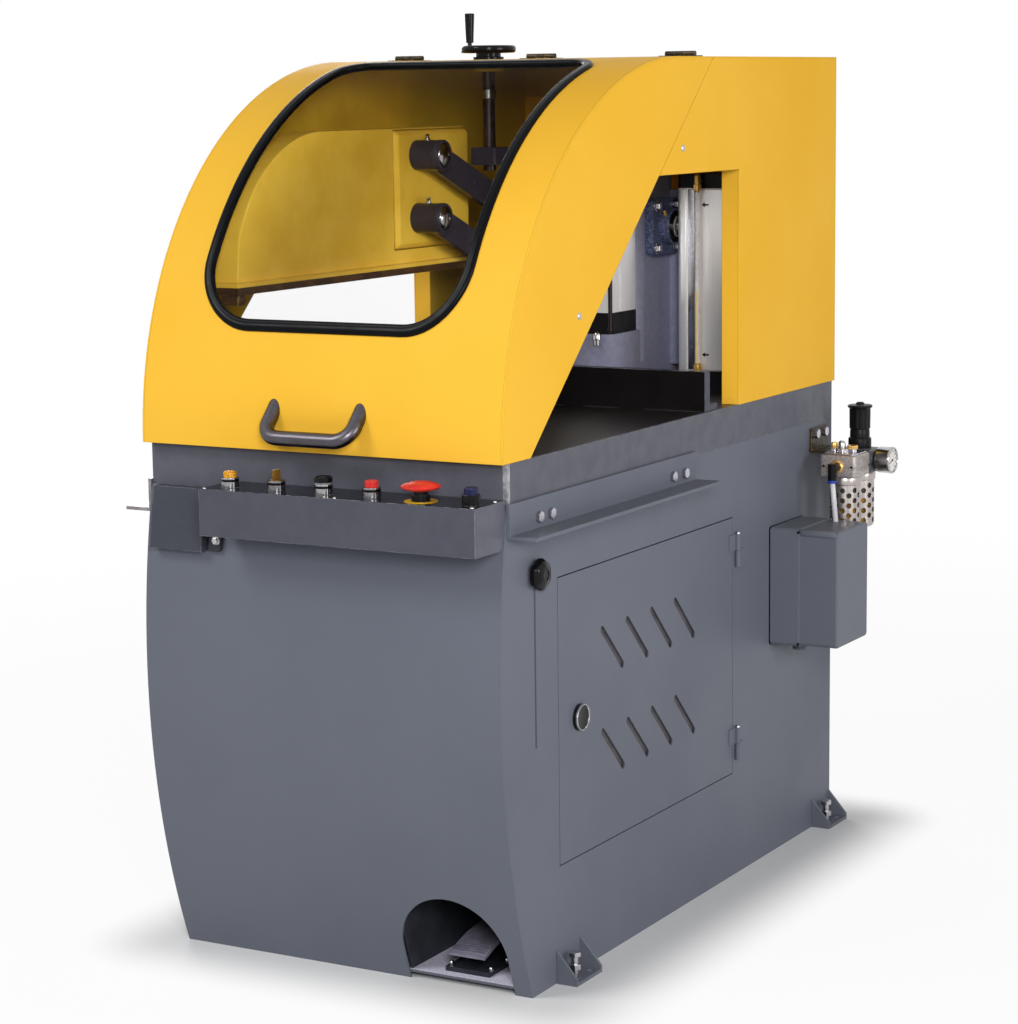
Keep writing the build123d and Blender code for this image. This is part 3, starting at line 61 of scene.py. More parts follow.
def toned(look):
    colours = ("base", "deep", "bare", "light", "dark", "inner", "innerDeep")
    return {key: tone(*value) if key in colours else value for key, value in look.items()}


# Node helpers: a socket takes another node's output as a link, and anything else as its own value.

def feed(tree, socket, value):
    if isinstance(value, bpy.types.NodeSocket):
        tree.links.new(value, socket)
    else:
        socket.default_value = value


def addNode(tree, kind, sockets=None, **settings):
    node = tree.nodes.new(kind)
    for label, value in settings.items():
        setattr(node, label, value)
    for label, value in (sockets or {}).items():
        feed(tree, node.inputs[label], value)
    return node


def sums(tree, operation, *values):
    return addNode(tree, "ShaderNodeMath", dict(enumerate(values)), operation=operation).outputs[0]


def product(tree, value, *factors):
    for factor in factors:
        value = sums(tree, "MULTIPLY", value, factor)
    return value


def smoothStep(tree, value, low, high):
    return addNode(tree, "ShaderNodeMapRange", {"Value": value, "From Min": low, "From Max": high},
                   interpolation_type="SMOOTHSTEP").outputs["Result"]


def mixColour(tree, share, first, second):
    return addNode(tree, "ShaderNodeMix", {0: share, 6: first, 7: second}, data_type="RGBA").outputs[2]


def mixValue(tree, share, first, second):
    return addNode(tree, "ShaderNodeMix", {0: share, 2: first, 3: second}, data_type="FLOAT").outputs[0]


def noise(tree, place, scale, detail, rough=0.5):
    return addNode(tree, "ShaderNodeTexNoise", {"Vector": place, "Scale": scale, "Detail": detail,
                                                "Roughness": rough}).outputs["Fac"]


# Shared effects, each a node group that reads a place

vectorKind, colourKind, valueKind = "NodeSocketVector", "NodeSocketColor", "NodeSocketFloat"


def newGroup(name, inputs, outputs):
    tree = bpy.data.node_groups.new(name, "ShaderNodeTree")
    for label, kind, value in [("Place", vectorKind, None), *inputs]:
        socket = tree.interface.new_socket(label, in_out="INPUT", socket_type=kind)
        if value is not None:
            socket.default_value = value
    for label, kind in outputs:
        tree.interface.new_socket(label, in_out="OUTPUT", socket_type=kind)
    return tree, tree.nodes.new("NodeGroupInput").outputs, tree.nodes.new("NodeGroupOutput").inputs


# Broad blotches between two colours and two roughnesses, and the fine height of sprayed paint
def makePaintSkin():
    tree, start, end = newGroup(
        "paintSkin",
        [("Base", colourKind, None), ("Deep", colourKind, None), ("Blotch", valueKind, 3.0),
         ("Peel", valueKind, 420.0), ("Rough low", valueKind, 0.3), ("Rough high", valueKind, 0.4)],
        [("Colour", colourKind), ("Rough", valueKind), ("Height", valueKind)])
    share = smoothStep(tree, noise(tree, start["Place"], start["Blotch"], 5.0, 0.6), 0.35, 0.7)
    feed(tree, end["Colour"], mixColour(tree, share, start["Base"], start["Deep"]))
    feed(tree, end["Rough"], mixValue(tree, share, start["Rough low"], start["Rough high"]))
    feed(tree, end["Height"], noise(tree, start["Place"], start["Peel"], 2.0))
    return tree


# Mask of the edges, where a rounded normal leaves the true one, broken up by noise
def makeEdgeWear():
    tree, start, end = newGroup(
        "edgeWear",
        [("Reach", valueKind, 0.002), ("Breaks", valueKind, 60.0), ("Amount", valueKind, 0.6)],
        [("Mask", valueKind)])
    rounded = addNode(tree, "ShaderNodeBevel", {"Radius": start["Reach"]}, samples=4)
    surface = addNode(tree, "ShaderNodeNewGeometry")
    normals = {0: rounded.outputs["Normal"], 1: surface.outputs["Normal"]}
    match = addNode(tree, "ShaderNodeVectorMath", normals, operation="DOT_PRODUCT")
    edge = smoothStep(tree, sums(tree, "SUBTRACT", 1.0, match.outputs["Value"]), 0.02, 0.16)
    broken = smoothStep(tree, noise(tree, start["Place"], start["Breaks"], 4.0), 0.42, 0.6)
    feed(tree, end["Mask"], product(tree, edge, broken, start["Amount"]))
    return tree


# Stretched noise for tool lines, and a soft cloud for stains
def makeBrushLines():
    tree, start, end = newGroup("brushLines", [("Stretch", vectorKind, (900.0, 20.0, 900.0))],
                                [("Lines", valueKind), ("Cloud", valueKind)])
    spread = addNode(tree, "ShaderNodeVectorMath", {0: start["Place"], 1: start["Stretch"]},
                     operation="MULTIPLY").outputs["Vector"]
    feed(tree, end["Lines"], noise(tree, spread, 1.0, 3.0))
    feed(tree, end["Cloud"], noise(tree, start["Place"], 14.0, 4.0))
    return tree


# Soft cells of a casting or hammered paint, and light specks
def makeHammered():
    tree, start, end = newGroup("hammered", [("Scale", valueKind, 160.0)],
                                [("Cells", valueKind), ("Specks", valueKind)])
    cells = addNode(tree, "ShaderNodeTexVoronoi", {"Vector": start["Place"], "Scale": start["Scale"]},
                    feature="SMOOTH_F1")
    feed(tree, end["Cells"], cells.outputs["Distance"])
    specks = noise(tree, start["Place"], start["Scale"], 6.0, 0.75)
    feed(tree, end["Specks"], smoothStep(tree, specks, 0.42, 0.62))
    return tree


paintSkin = makePaintSkin()
edgeWear = makeEdgeWear()
brushLines = makeBrushLines()
hammered = makeHammered()
print("shared effects ready")


# Material helpers

paintPeel = 0.00003
paintGloss = 0.14
bumpStrength = 0.3


def newMaterial(name):
    material = bpy.data.materials.new(name)
    material.use_nodes = True
    tree = material.node_tree
    place = tree.nodes.new("ShaderNodeTexCoord").outputs["Object"]
    return material, tree, tree.nodes["Principled BSDF"], place


def useGroup(tree, group, place, values):
    return addNode(tree, "ShaderNodeGroup", {"Place": place, **values}, node_tree=group).outputs


def setShader(tree, shader, values):
    for label, value in values.items():
        feed(tree, shader.inputs[label], value)


def bumpNormal(tree, height, distance, rounding, strength=bumpStrength):
    bump = addNode(tree, "ShaderNodeBump", {"Height": height, "Distance": distance, "Strength": strength})
    if rounding:
        corner = addNode(tree, "ShaderNodeBevel", {"Radius": rounding}, samples=4)
        feed(tree, bump.inputs["Normal"], corner.outputs["Normal"])
    return bump.outputs["Normal"]


# 1 inside a box, 0 outside, on the piece's own place. The box names its limits, such as minX or maxZ.
def boxMask(tree, place, box):
    parts = addNode(tree, "ShaderNodeSeparateXYZ", {"Vector": place}).outputs
    operations = {"min": "GREATER_THAN", "max": "LESS_THAN"}
    return product(tree, *[sums(tree, operations[side[:3]], parts[side[3:]], limit)
                           for side, limit in box.items()])


def skinOf(tree, place, look, smoother, rougher, blotch=3.0, peel=420.0):
    return useGroup(tree, paintSkin, place, {
        "Base": look["base"], "Deep": look["deep"], "Blotch": look.get("blotch", blotch), "Peel": peel,
        "Rough low": look["rough"] - smoother, "Rough high": look["rough"] + rougher})


# Worn edges in the bare colour. A look without wear keeps its colour.
def worn(tree, place, colour, look):
    if "wear" not in look:
        return colour
    mask = useGroup(tree, edgeWear, place, {"Amount": look["wear"], "Reach": look.get("reach", 0.0016),
                                            "Breaks": look.get("breaks", 60.0)})["Mask"]
    return mixColour(tree, mask, colour, look["bare"])


# Finishes

def sheetPaint(name, look):
    material, tree, shader, place = newMaterial(name)
    skin = skinOf(tree, place, look, smoother=0.05, rougher=0.06)
    setShader(tree, shader, {
        "Base Color": worn(tree, place, skin["Colour"], look), "Roughness": skin["Rough"],
        "Normal": bumpNormal(tree, skin["Height"], paintPeel, look.get("corner", 0.0016)),
        "Specular IOR Level": paintGloss})
    return material


# Hood paint with painted shade inside: the inner faces take a darker, greener yellow standing in for the
# shade under the hood. A point is inside where it is nearer to the hood's axis than the sheet, or
# between the axis and the rear face just under the roof, or on a side sheet's inner face.
def hoodPaint(name, look):
    material, tree, shader, place = newMaterial(name)
    skin = skinOf(tree, place, look, smoother=0.05, rougher=0.06)
    paintedShade = useGroup(tree, paintSkin, place, {
        "Base": look["inner"], "Deep": look["innerDeep"], "Blotch": look["innerBlotch"]})
    parts = addNode(tree, "ShaderNodeSeparateXYZ", {"Vector": place}).outputs
    ahead = sums(tree, "SUBTRACT", parts["Y"], look["axis"][0])
    above = sums(tree, "SUBTRACT", parts["Z"], look["axis"][1])
    across = sums(tree, "ABSOLUTE", parts["X"])
    radius = sums(tree, "SQRT", sums(tree, "ADD", product(tree, ahead, ahead), product(tree, above, above)))
    curve = product(tree, sums(tree, "LESS_THAN", radius, look["innerRadius"]),
                    sums(tree, "LESS_THAN", ahead, 0.0))
    roof = product(tree, sums(tree, "GREATER_THAN", ahead, 0.0),
                   sums(tree, "LESS_THAN", ahead, look["rear"]),
                   sums(tree, "GREATER_THAN", above, look["roofFrom"]))
    under = product(tree, sums(tree, "MAXIMUM", curve, roof),
                    sums(tree, "LESS_THAN", above, look["innerRadius"]),
                    sums(tree, "LESS_THAN", across, look["side"] - look["sideGap"]))
    face = sums(tree, "COMPARE", across, look["side"], look["faceReach"])
    colour = mixColour(tree, sums(tree, "MAXIMUM", under, face), skin["Colour"], paintedShade["Colour"])
    setShader(tree, shader, {
        "Base Color": worn(tree, place, colour, look), "Roughness": skin["Rough"],
        "Normal": bumpNormal(tree, skin["Height"], paintPeel, rounding=0.0016),
        "Specular IOR Level": look["gloss"]})
    return material


def machinedMetal(name, look):
    material, tree, shader, place = newMaterial(name)
    brush = useGroup(tree, brushLines, place, {"Stretch": look["stretch"]})
    colour = mixColour(tree, brush["Lines"], look["dark"], look["light"])
    stain = sums(tree, "MULTIPLY", brush["Cloud"], look.get("stain", 0.25))
    setShader(tree, shader, {
        "Base Color": mixColour(tree, stain, colour, look["dark"]), "Metallic": look.get("metal", 1.0),
        "Roughness": mixValue(tree, brush["Lines"], look["rough"] - 0.05, look["rough"] + 0.07),
        "Normal": bumpNormal(tree, brush["Lines"], distance=0.00001, rounding=0.0008),
        "Specular IOR Level": look.get("gloss", 0.4)})
    return material


def moulded(name, look):
    material, tree, shader, place = newMaterial(name)
    skin = skinOf(tree, place, look, smoother=0.05, rougher=0.07, blotch=30.0, peel=500.0)
    setShader(tree, shader, {
        "Base Color": skin["Colour"], "Roughness": skin["Rough"],
        "Normal": bumpNormal(tree, skin["Height"], distance=0.00002, rounding=look.get("corner", 0.0007)),
        "Specular IOR Level": look.get("gloss", 0.2)})
    return material


# Cast and hammered paint: cell relief with darker hollows and a few light specks.
def castPaint(name, look):
    material, tree, shader, place = newMaterial(name)
    cast = useGroup(tree, hammered, place, {"Scale": look["scale"]})
    tint = mixColour(tree, cast["Cells"], look["base"], look["deep"])
    specks = sums(tree, "MULTIPLY", cast["Specks"], look["specks"])
    setShader(tree, shader, {
        "Base Color": mixColour(tree, specks, tint, look["light"]), "Metallic": look.get("metal", 0.0),
        "Roughness": mixValue(tree, cast["Specks"], look["rough"], look["rough"] + 0.12),
        "Normal": bumpNormal(tree, cast["Cells"], look["depth"], rounding=0.0018, strength=0.5),
        "Specular IOR Level": 0.35})
    return material


# Several layers on one node: each later layer covers the boxes that it names.
def splitFinish(name, look):
    material, tree, shader, place = newMaterial(name)
    colour = None
    for layer in [toned(layer) for layer in look["layers"]]:
        skin = skinOf(tree, place, layer, smoother=0.04, rougher=0.06, blotch=20.0)
        shine = layer.get("metal", 0.0)
        if colour is None:
            colour, rough, metal, height = skin["Colour"], skin["Rough"], shine, skin["Height"]
            continue
        mask, *others = [boxMask(tree, place, box) for box in layer["where"]]
        for other in others:
            mask = sums(tree, "MAXIMUM", mask, other)
        colour = mixColour(tree, mask, colour, skin["Colour"])
        rough = mixValue(tree, mask, rough, skin["Rough"])
        metal = mixValue(tree, mask, metal, shine)
    setShader(tree, shader, {
        "Base Color": worn(tree, place, colour, look), "Roughness": rough, "Metallic": metal,
        "Normal": bumpNormal(tree, height, paintPeel, look.get("corner", 0.001)),
        "Specular IOR Level": paintGloss})
    return material


def clearPane(name, look):
    material, tree, shader, place = newMaterial(name)
    haze = noise(tree, place, look["haze"], 3.0)
    setShader(tree, shader, {
        "Base Color": look["base"], "Roughness": mixValue(tree, haze, *look["rough"]),
        "Alpha": mixValue(tree, haze, *look["alpha"]), "IOR": 1.45, "Specular IOR Level": look["gloss"]})
    return material


hoodPaints = {
    "hoodYellow": {
        # The inner colours are painted shade for the inside of the hood, darker and greener than the
        # outside.
        "base": (247, 192, 64), "deep": (243, 186, 56), "bare": (252, 214, 110), "inner": (206, 170, 48),
        "innerDeep": (184, 150, 40), "rough": 0.45, "blotch": 2.2, "innerBlotch": 5.0, "wear": 0.3,
        "gloss": 0.03, "axis": (-0.1425, 0.891), "innerRadius": 0.6297, "roofFrom": 0.56, "rear": 0.7084,
        "side": 0.3445, "sideGap": 0.0006, "faceReach": 0.0004},
}

clearPanes = {
    "smokedGlass": {"base": (40, 34, 26), "rough": (0.03, 0.08), "alpha": (0.02, 0.05), "haze": 5.0,
                    "gloss": 0.08},
}

cabinetLook = {"base": (103, 107, 118), "deep": (99, 103, 114), "rough": 0.45, "blotch": 2.4}
chromeLook = {"base": (160, 160, 162), "deep": (104, 104, 108), "rough": 0.16, "metal": 1.0}
brassLook = {"base": (226, 186, 110), "deep": (184, 138, 70), "rough": 0.24, "metal": 0.6, "blotch": 80.0}
blackLook = {"base": (17, 17, 19), "deep": (8, 8, 10), "rough": 0.26, "blotch": 40.0}

sheetPaints = {
    "cabinetGrey": {**cabinetLook, "bare": (122, 124, 133), "wear": 0.3},
    "footGrey": {"base": (104, 108, 118), "deep": (97, 100, 110), "bare": (122, 124, 132), "rough": 0.45,
                 "blotch": 9.0, "wear": 0.4},
    "junctionGrey": {"base": (105, 109, 119), "deep": (101, 105, 115), "bare": (122, 124, 133),
                     "rough": 0.45, "blotch": 3.0, "wear": 0.08, "corner": 0.003},
    "boxSlate": {"base": (57, 58, 66), "deep": (52, 53, 61), "bare": (150, 150, 156), "rough": 0.34,
                 "blotch": 30.0, "wear": 0.6},
    "armSlate": {"base": (63, 59, 69), "deep": (57, 53, 63), "rough": 0.22, "blotch": 40.0,
                 "corner": 0.0025},
    "machineGrey": {"base": (92, 96, 106), "deep": (80, 84, 95), "bare": (186, 186, 188), "rough": 0.45,
                    "blotch": 8.0, "wear": 0.4},
    # Darker grey of the slot blades: painted shade inside the door's slots.
    "louverPaintedShade": {"base": (92, 88, 90), "deep": (78, 75, 78), "rough": 0.5, "blotch": 30.0},
    # Dark grey of the foot well's walls: painted shade behind the arch.
    "wellPaintedShade": {"base": (58, 60, 67), "deep": (45, 47, 53), "rough": 0.5, "blotch": 14.0},
    "treadGrey": {"base": (128, 126, 142), "deep": (104, 102, 118), "bare": (196, 194, 206), "rough": 0.36,
                  "blotch": 40.0, "wear": 0.5, "reach": 0.001, "corner": 0.0005},
}

castPaints = {
    "columnSlate": {"base": (146, 148, 172), "deep": (131, 133, 157), "light": (170, 172, 192),
                    "scale": 90.0, "specks": 0.25, "rough": 0.34, "depth": 0.0002},
    "bearingBlue": {"base": (58, 66, 104), "deep": (30, 36, 66), "light": (150, 160, 196), "scale": 300.0,
                    "specks": 0.55, "rough": 0.3, "depth": 0.0004},
    "dieCast": {"base": (172, 164, 162), "deep": (128, 121, 120), "light": (214, 208, 204), "scale": 240.0,
                "specks": 0.5, "rough": 0.4, "depth": 0.0004, "metal": 0.5},
    "darkCast": {"base": (62, 62, 66), "deep": (38, 38, 42), "light": (98, 96, 98), "scale": 220.0,
                 "specks": 0.35, "rough": 0.36, "depth": 0.0004, "metal": 0.3},
}

machinedMetals = {
    # Near-black table steel: painted shade and a painted reflection of the dark fence and hood inside,
    # darker than the steel's own colour.
    "tableSteelPaintedShade": {"light": (36, 33, 33), "dark": (24, 22, 22), "rough": 0.34, "metal": 0.5, "gloss": 0.15,
                   "stretch": (26.0, 700.0, 700.0)},
    "groundSteel": {"light": (186, 187, 190), "dark": (148, 149, 154), "rough": 0.3,
                    "stretch": (900.0, 26.0, 900.0)},
    "turnedSteel": {"light": (205, 204, 204), "dark": (150, 148, 150), "rough": 0.24,
                    "stretch": (300.0, 60.0, 60.0)},
    "zincPlate": {"light": (214, 212, 216), "dark": (160, 158, 166), "rough": 0.24,
                  "stretch": (120.0, 120.0, 120.0)},
    "bowlSteel": {"light": (206, 198, 194), "dark": (146, 137, 134), "rough": 0.3,
                  "stretch": (200.0, 200.0, 40.0)},
    "handleDark": {"light": (104, 101, 107), "dark": (66, 63, 69), "rough": 0.3,
                   "stretch": (60.0, 300.0, 300.0)},
    "darkRod": {"light": (64, 58, 60), "dark": (36, 32, 34), "rough": 0.28, "stretch": (300.0, 300.0, 30.0)},
    "anodised": {"light": (254, 254, 254), "dark": (244, 243, 245), "rough": 0.3, "metal": 0.5,
                 "stain": 0.05, "stretch": (500.0, 500.0, 9.0)},
    "hubSteel": {"light": (178, 174, 176), "dark": (122, 118, 120), "rough": 0.2,
                 "stretch": (90.0, 90.0, 90.0)},
    "chrome": {"light": (208, 207, 207), "dark": (152, 151, 153), "rough": 0.14,
               "stretch": (90.0, 90.0, 90.0)},
    "brass": {"light": (246, 208, 128), "dark": (206, 158, 82), "rough": 0.22, "metal": 0.6,
              "stretch": (160.0, 160.0, 160.0)},
}

mouldings = {
    "blackPlastic": {"base": (23, 23, 26), "deep": (14, 14, 16), "rough": 0.36, "gloss": 0.12},
    "blackGloss": {"base": (15, 15, 17), "deep": (8, 8, 10), "rough": 0.16, "gloss": 0.16},
    "sealRubber": {"base": (12, 13, 17), "deep": (6, 7, 10), "rough": 0.24, "corner": 0.0, "gloss": 0.07},
    "amberLens": {"base": (244, 176, 20), "deep": (150, 84, 4), "rough": 0.2, "blotch": 420.0},
    "selectorGold": {"base": (128, 92, 26), "deep": (82, 56, 14), "rough": 0.26, "blotch": 200.0},
    "ringYellow": {"base": (226, 184, 40), "deep": (196, 150, 26), "rough": 0.36, "blotch": 60.0},
    "redPlastic": {"base": (224, 58, 50), "deep": (196, 40, 38), "rough": 0.32, "blotch": 90.0},
    "bluePlastic": {"base": (34, 36, 84), "deep": (14, 15, 34), "rough": 0.22, "blotch": 240.0},
    "blueRing": {"base": (44, 74, 190), "deep": (30, 54, 150), "rough": 0.3},
    "dialWhite": {"base": (238, 236, 232), "deep": (228, 225, 220), "rough": 0.4},
    "clearGrey": {"base": (138, 138, 146), "deep": (92, 92, 100), "rough": 0.12, "blotch": 120.0},
    "switchBlack": {"base": (48, 50, 58), "deep": (34, 36, 42), "rough": 0.36},
}

splitFinishes = {
    "bandGrey": {
        "wear": 0.6, "reach": 0.002, "bare": (184, 184, 189), "corner": 0.0016,
        "layers": [
            {"base": (93, 94, 104), "deep": (87, 88, 98), "rough": 0.38, "blotch": 26.0},
            # Front right corner strip in lighter metal: bare metal on the corner, and partly a painted
            # highlight on its rounded edge.
            {"base": (176, 176, 182), "deep": (126, 126, 134), "rough": 0.32, "blotch": 90.0, "metal": 0.3,
             "where": [{"minX": 0.3355, "maxY": -0.7455}]}]},
    "hingeLeaves": {
        "wear": 0.5, "reach": 0.0014, "bare": (150, 132, 96),
        "layers": [
            cabinetLook,
            {"base": (70, 60, 42), "deep": (40, 34, 26), "rough": 0.36, "metal": 0.5,
             "where": [{"minZ": 1.0}]}]},
    "lavenderPlate": {
        "corner": 0.0008,
        "layers": [
            {"base": (240, 238, 254), "deep": (206, 203, 228), "rough": 0.5, "blotch": 260.0},
            # The plate's edge below its top takes the cabinet grey, darker than the top: painted shade on
            # the edge.
            {**cabinetLook, "where": [{"maxZ": 0.0155}]}]},
    # Dark bronze: the hood hinge leaves' own colour. On the air bracket the dark brown is painted shade over
    # its gold-coloured metal, which stays along the edges.
    "bronzeAndPaintedShade": {
        "wear": 0.9, "reach": 0.0016, "bare": (204, 164, 78), "breaks": 140.0,
        "layers": [
            {"base": (66, 57, 40), "deep": (36, 31, 24), "rough": 0.38, "metal": 0.4, "blotch": 120.0}]},
    "amberBowl": {
        "layers": [
            {"base": (74, 68, 62), "deep": (40, 38, 36), "rough": 0.14, "blotch": 60.0},
            {"base": (150, 108, 38), "deep": (72, 54, 28), "rough": 0.14, "blotch": 60.0,
             "where": [{"maxZ": 0.667}]}]},
    "controlBox": {
        "wear": 0.7, "reach": 0.002, "bare": (170, 168, 172),
        "layers": [
            {"base": (80, 81, 91), "deep": (75, 76, 86), "rough": 0.34, "blotch": 30.0},
            # Lighter right end: painted light, the end made lighter than the shaded front as if lit from the
            # right.
            {"base": (96, 97, 107), "deep": (91, 92, 102), "rough": 0.36, "blotch": 30.0,
             "where": [{"minX": 0.3412, "maxZ": 0.8329}]},
            {"base": (69, 71, 80), "deep": (65, 67, 76), "rough": 0.34, "blotch": 30.0,
             "where": [{"maxX": -0.1795}]},
            {"base": (26, 27, 33), "deep": (18, 19, 24), "rough": 0.1, "blotch": 40.0,
             "where": [{"minX": -0.1785, "maxX": 0.343, "maxY": -0.7575, "minZ": 0.8325, "maxZ": 0.8335}]},
            {**chromeLook, "where": [{"maxX": 0.18, "minZ": 0.8336}]},
            # Dark metallic band round the chrome bezels: a painted dark reflection.
            {**blackLook, "metal": 0.5, "where": [{"maxX": 0.18, "minZ": 0.8432, "maxZ": 0.8472}]},
            {**blackLook, "where": [{"minX": 0.18, "minZ": 0.8336}]}]},
    "wheelAndScrew": {
        "layers": [
            {**blackLook, "rough": 0.14},
            {"base": (64, 52, 50), "deep": (42, 34, 34), "rough": 0.26, "metal": 0.6,
             "where": [{"maxZ": 1.5}]},
            {**chromeLook, "where": [{"minZ": 1.4515, "maxZ": 1.4685}]}]},
    "airLine": {
        "layers": [
            {"base": (226, 226, 228), "deep": (206, 206, 210), "rough": 0.3},
            {**blackLook, "where": [{"minZ": 0.717}]}]},
    "sightGlass": {
        "layers": [
            {"base": (238, 234, 232), "deep": (214, 208, 206), "rough": 0.12, "blotch": 60.0},
            {"base": (246, 224, 172), "deep": (236, 206, 142), "rough": 0.12,
             "where": [{"minX": 0.1852, "maxX": 0.1905, "maxZ": 1.085}]},
            {**brassLook, "where": [{"minZ": 1.2705}, {"maxZ": 0.9455}]}]},
    "conveyorRails": {
        "wear": 0.4, "reach": 0.0016, "bare": (140, 142, 150), "corner": 0.0016,
        "layers": [
            cabinetLook,
            {"base": (158, 154, 158), "deep": (118, 113, 118), "rough": 0.36, "metal": 0.6, "blotch": 50.0,
             "where": [{"maxX": 0.0}]}]},
    "fenceBlack": {
        "wear": 0.8, "reach": 0.002, "bare": (150, 150, 156), "breaks": 25.0, "corner": 0.0016,
        "layers": [
            {"base": (21, 19, 20), "deep": (13, 12, 13), "rough": 0.22, "blotch": 12.0},
            {"base": (70, 72, 84), "deep": (54, 56, 68), "rough": 0.3, "where": [{"minX": 0.3385}]}]},
    "guardAndStrip": {
        "wear": 0.35, "reach": 0.003, "bare": (252, 224, 120), "corner": 0.004,
        "layers": [
            {"base": (255, 210, 76), "deep": (240, 190, 56), "rough": 0.34, "blotch": 7.0},
            {"base": (88, 58, 30), "deep": (54, 36, 22), "rough": 0.4, "where": [{"maxZ": 1.1445}]}]},
    "emergencyRed": {
        "corner": 0.0,
        "layers": [
            {"base": (226, 60, 50), "deep": (204, 46, 40), "rough": 0.34, "blotch": 60.0},
            {**blackLook, "where": [{"maxZ": 0.8492}]}]},
}


def makeFinishes():
    made = {}
    for maker, looks in ((hoodPaint, hoodPaints), (clearPane, clearPanes), (sheetPaint, sheetPaints),
                         (castPaint, castPaints), (machinedMetal, machinedMetals), (moulded, mouldings),
                         (splitFinish, splitFinishes)):
        made.update({name: maker(name, toned(look)) for name, look in looks.items()})
    return made


finishes = makeFinishes()
print("finishes ready:", len(finishes))

nodeFinish = {
    "cabinetGrey": ["left_panel", "right_panel", "front_panel", "back_panel", "side_door"],
    "hingeLeaves": ["hinge_leaves"],
    "junctionGrey": ["junction_box"],
    "bandGrey": ["table_frame"],
    "footGrey": ["foot_brackets"],
    "lavenderPlate": ["floor_plate"],
    "conveyorRails": ["conveyor_rails"],
    "hoodYellow": ["rear_hood_cover", "rear_hood_sides", "front_hood_skin", "front_hood_sides"],
    "guardAndStrip": ["blade_guard"],
    "columnSlate": ["column"],
    "bearingBlue": ["pivot_bearings"],
    "controlBox": ["control_box"],
    "armSlate": ["upper_arm", "lower_arm", "stop_nut"],
    "machineGrey": ["saw_arm", "motor"],
    "treadGrey": ["foot_pedal"],
    "tableSteelPaintedShade": ["table_top"],
    "groundSteel": ["saw_blade"],
    "dieCast": ["air_bodies"],
    "bowlSteel": ["bowl_guards"],
    "chrome": ["pressure_gauge"],
    "bronzeAndPaintedShade": ["air_bracket", "hood_hinge_moving_leaves"],
    "turnedSteel": ["pivot_shaft", "hold_down_rod", "motor_shaft", "blade_spindle", "saw_lift_rod"],
    "zincPlate": ["hex_bolts"],
    "handleDark": ["hood_handle"],
    "anodised": ["oil_tanks", "air_cylinders"],
    "airLine": ["air_line"],
    "blackPlastic": ["tank_caps", "door_latch", "regulator_knob", "drive_belt"],
    "switchBlack": ["foot_switch_base"],
    "fenceBlack": ["fence"],
    "wheelAndScrew": ["handwheel"],
    "blackGloss": ["handwheel_grip", "stroke_knob", "ready_button"],
    "amberLens": ["start_button", "mode_selector"],
    "sightGlass": ["sight_gauge"],
    "redPlastic": ["stop_button", "emergency_stop"],
    "bluePlastic": ["reset_button"],
    "sealRubber": ["window_gasket"],
    "smokedGlass": ["window_glass"],
}


def dressNodes():
    for finish, names in nodeFinish.items():
        for name in names:
            slots = nodes[name].data.materials
            slots.clear()
            slots.append(finishes[finish])


dressNodes()
print("nodes dressed")


# Mesh helpers: a part is a grid of points in millimetres and a word on whether its last row meets its first.
# Each row is a closed ring, and quads join the rows.

mergeGap = 0.000004


def addObject(name, data):
    item = bpy.data.objects.new(name, data)
    bpy.context.scene.collection.objects.link(item)
    return item


def gridFaces(rows, columns, wrapRows, start):
    r, c = np.meshgrid(np.arange(rows if wrapRows else rows - 1), np.arange(columns), indexing="ij")
    nextR, nextC = (r + 1) % rows, (c + 1) % columns
    corners = [r * columns + c, r * columns + nextC, nextR * columns + nextC, nextR * columns + c]
    return start + np.stack(corners, axis=-1).reshape(-1, 4)


def makePiece(name, parts, body, finish, slot, replaced=(), bevel=0.0, smooth=38.0):
    points, faces, count = [], [], 0
    for grid, wrapRows in parts:
        rows, columns = grid.shape[:2]
        points.append(grid.reshape(-1, 3) * mm)
        faces.append(gridFaces(rows, columns, wrapRows, count))
        count += rows * columns
    mesh = bpy.data.meshes.new(name)
    mesh.from_pydata(np.concatenate(points).tolist(), [], np.concatenate(faces).tolist())
    skin = bmesh.new()
    skin.from_mesh(mesh)
    bmesh.ops.remove_doubles(skin, verts=skin.verts, dist=mergeGap)
    bmesh.ops.recalc_face_normals(skin, faces=skin.faces)
    skin.to_mesh(mesh)
    skin.free()
    mesh.polygons.foreach_set("use_smooth", np.ones(len(mesh.polygons), bool))
    mesh.set_sharp_from_angle(angle=math.radians(smooth))
    mesh.materials.append(finishes[finish])
    piece = addObject(name, mesh)
    if bevel:
        edge = piece.modifiers.new("softEdge", "BEVEL")
        edge.width = bevel * mm
        edge.segments = 2
        edge.limit_method = "ANGLE"
        edge.angle_limit = math.radians(smooth)
    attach(piece, body)
    if replaced:
        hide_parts(*replaced)


# Turned part: point = base + axis * height + radius * (cos angle * side + sin angle * rise). A profile row
# is radius, height and ripple share; the ripple scales the radius by 1 + depth * share * cos(lobes * angle).
# A profile that starts away from the axis is a ring, and its last row meets its first.
def turned(profile, base, axis, count, lobes=0, depth=0.0):
    rows = np.array([(*row, 1.0)[:3] for row in profile], float)
    axis = np.array(axis, float)
    side = np.cross(axis, (0.0, 1.0, 0.0) if abs(axis[1]) < 0.9 else (1.0, 0.0, 0.0))
    side /= np.linalg.norm(side)
    rise = np.cross(axis, side)
    angle = np.linspace(0.0, 2.0 * np.pi, count, endpoint=False)
    spoke = np.cos(angle)[:, None] * side + np.sin(angle)[:, None] * rise
    radius = rows[:, 0, None] * (1.0 + depth * rows[:, 2, None] * np.cos(lobes * angle))
    grid = np.array(base, float) + rows[:, 1, None, None] * axis + radius[:, :, None] * spoke
    return grid, bool(rows[0, 0] > 0.0)


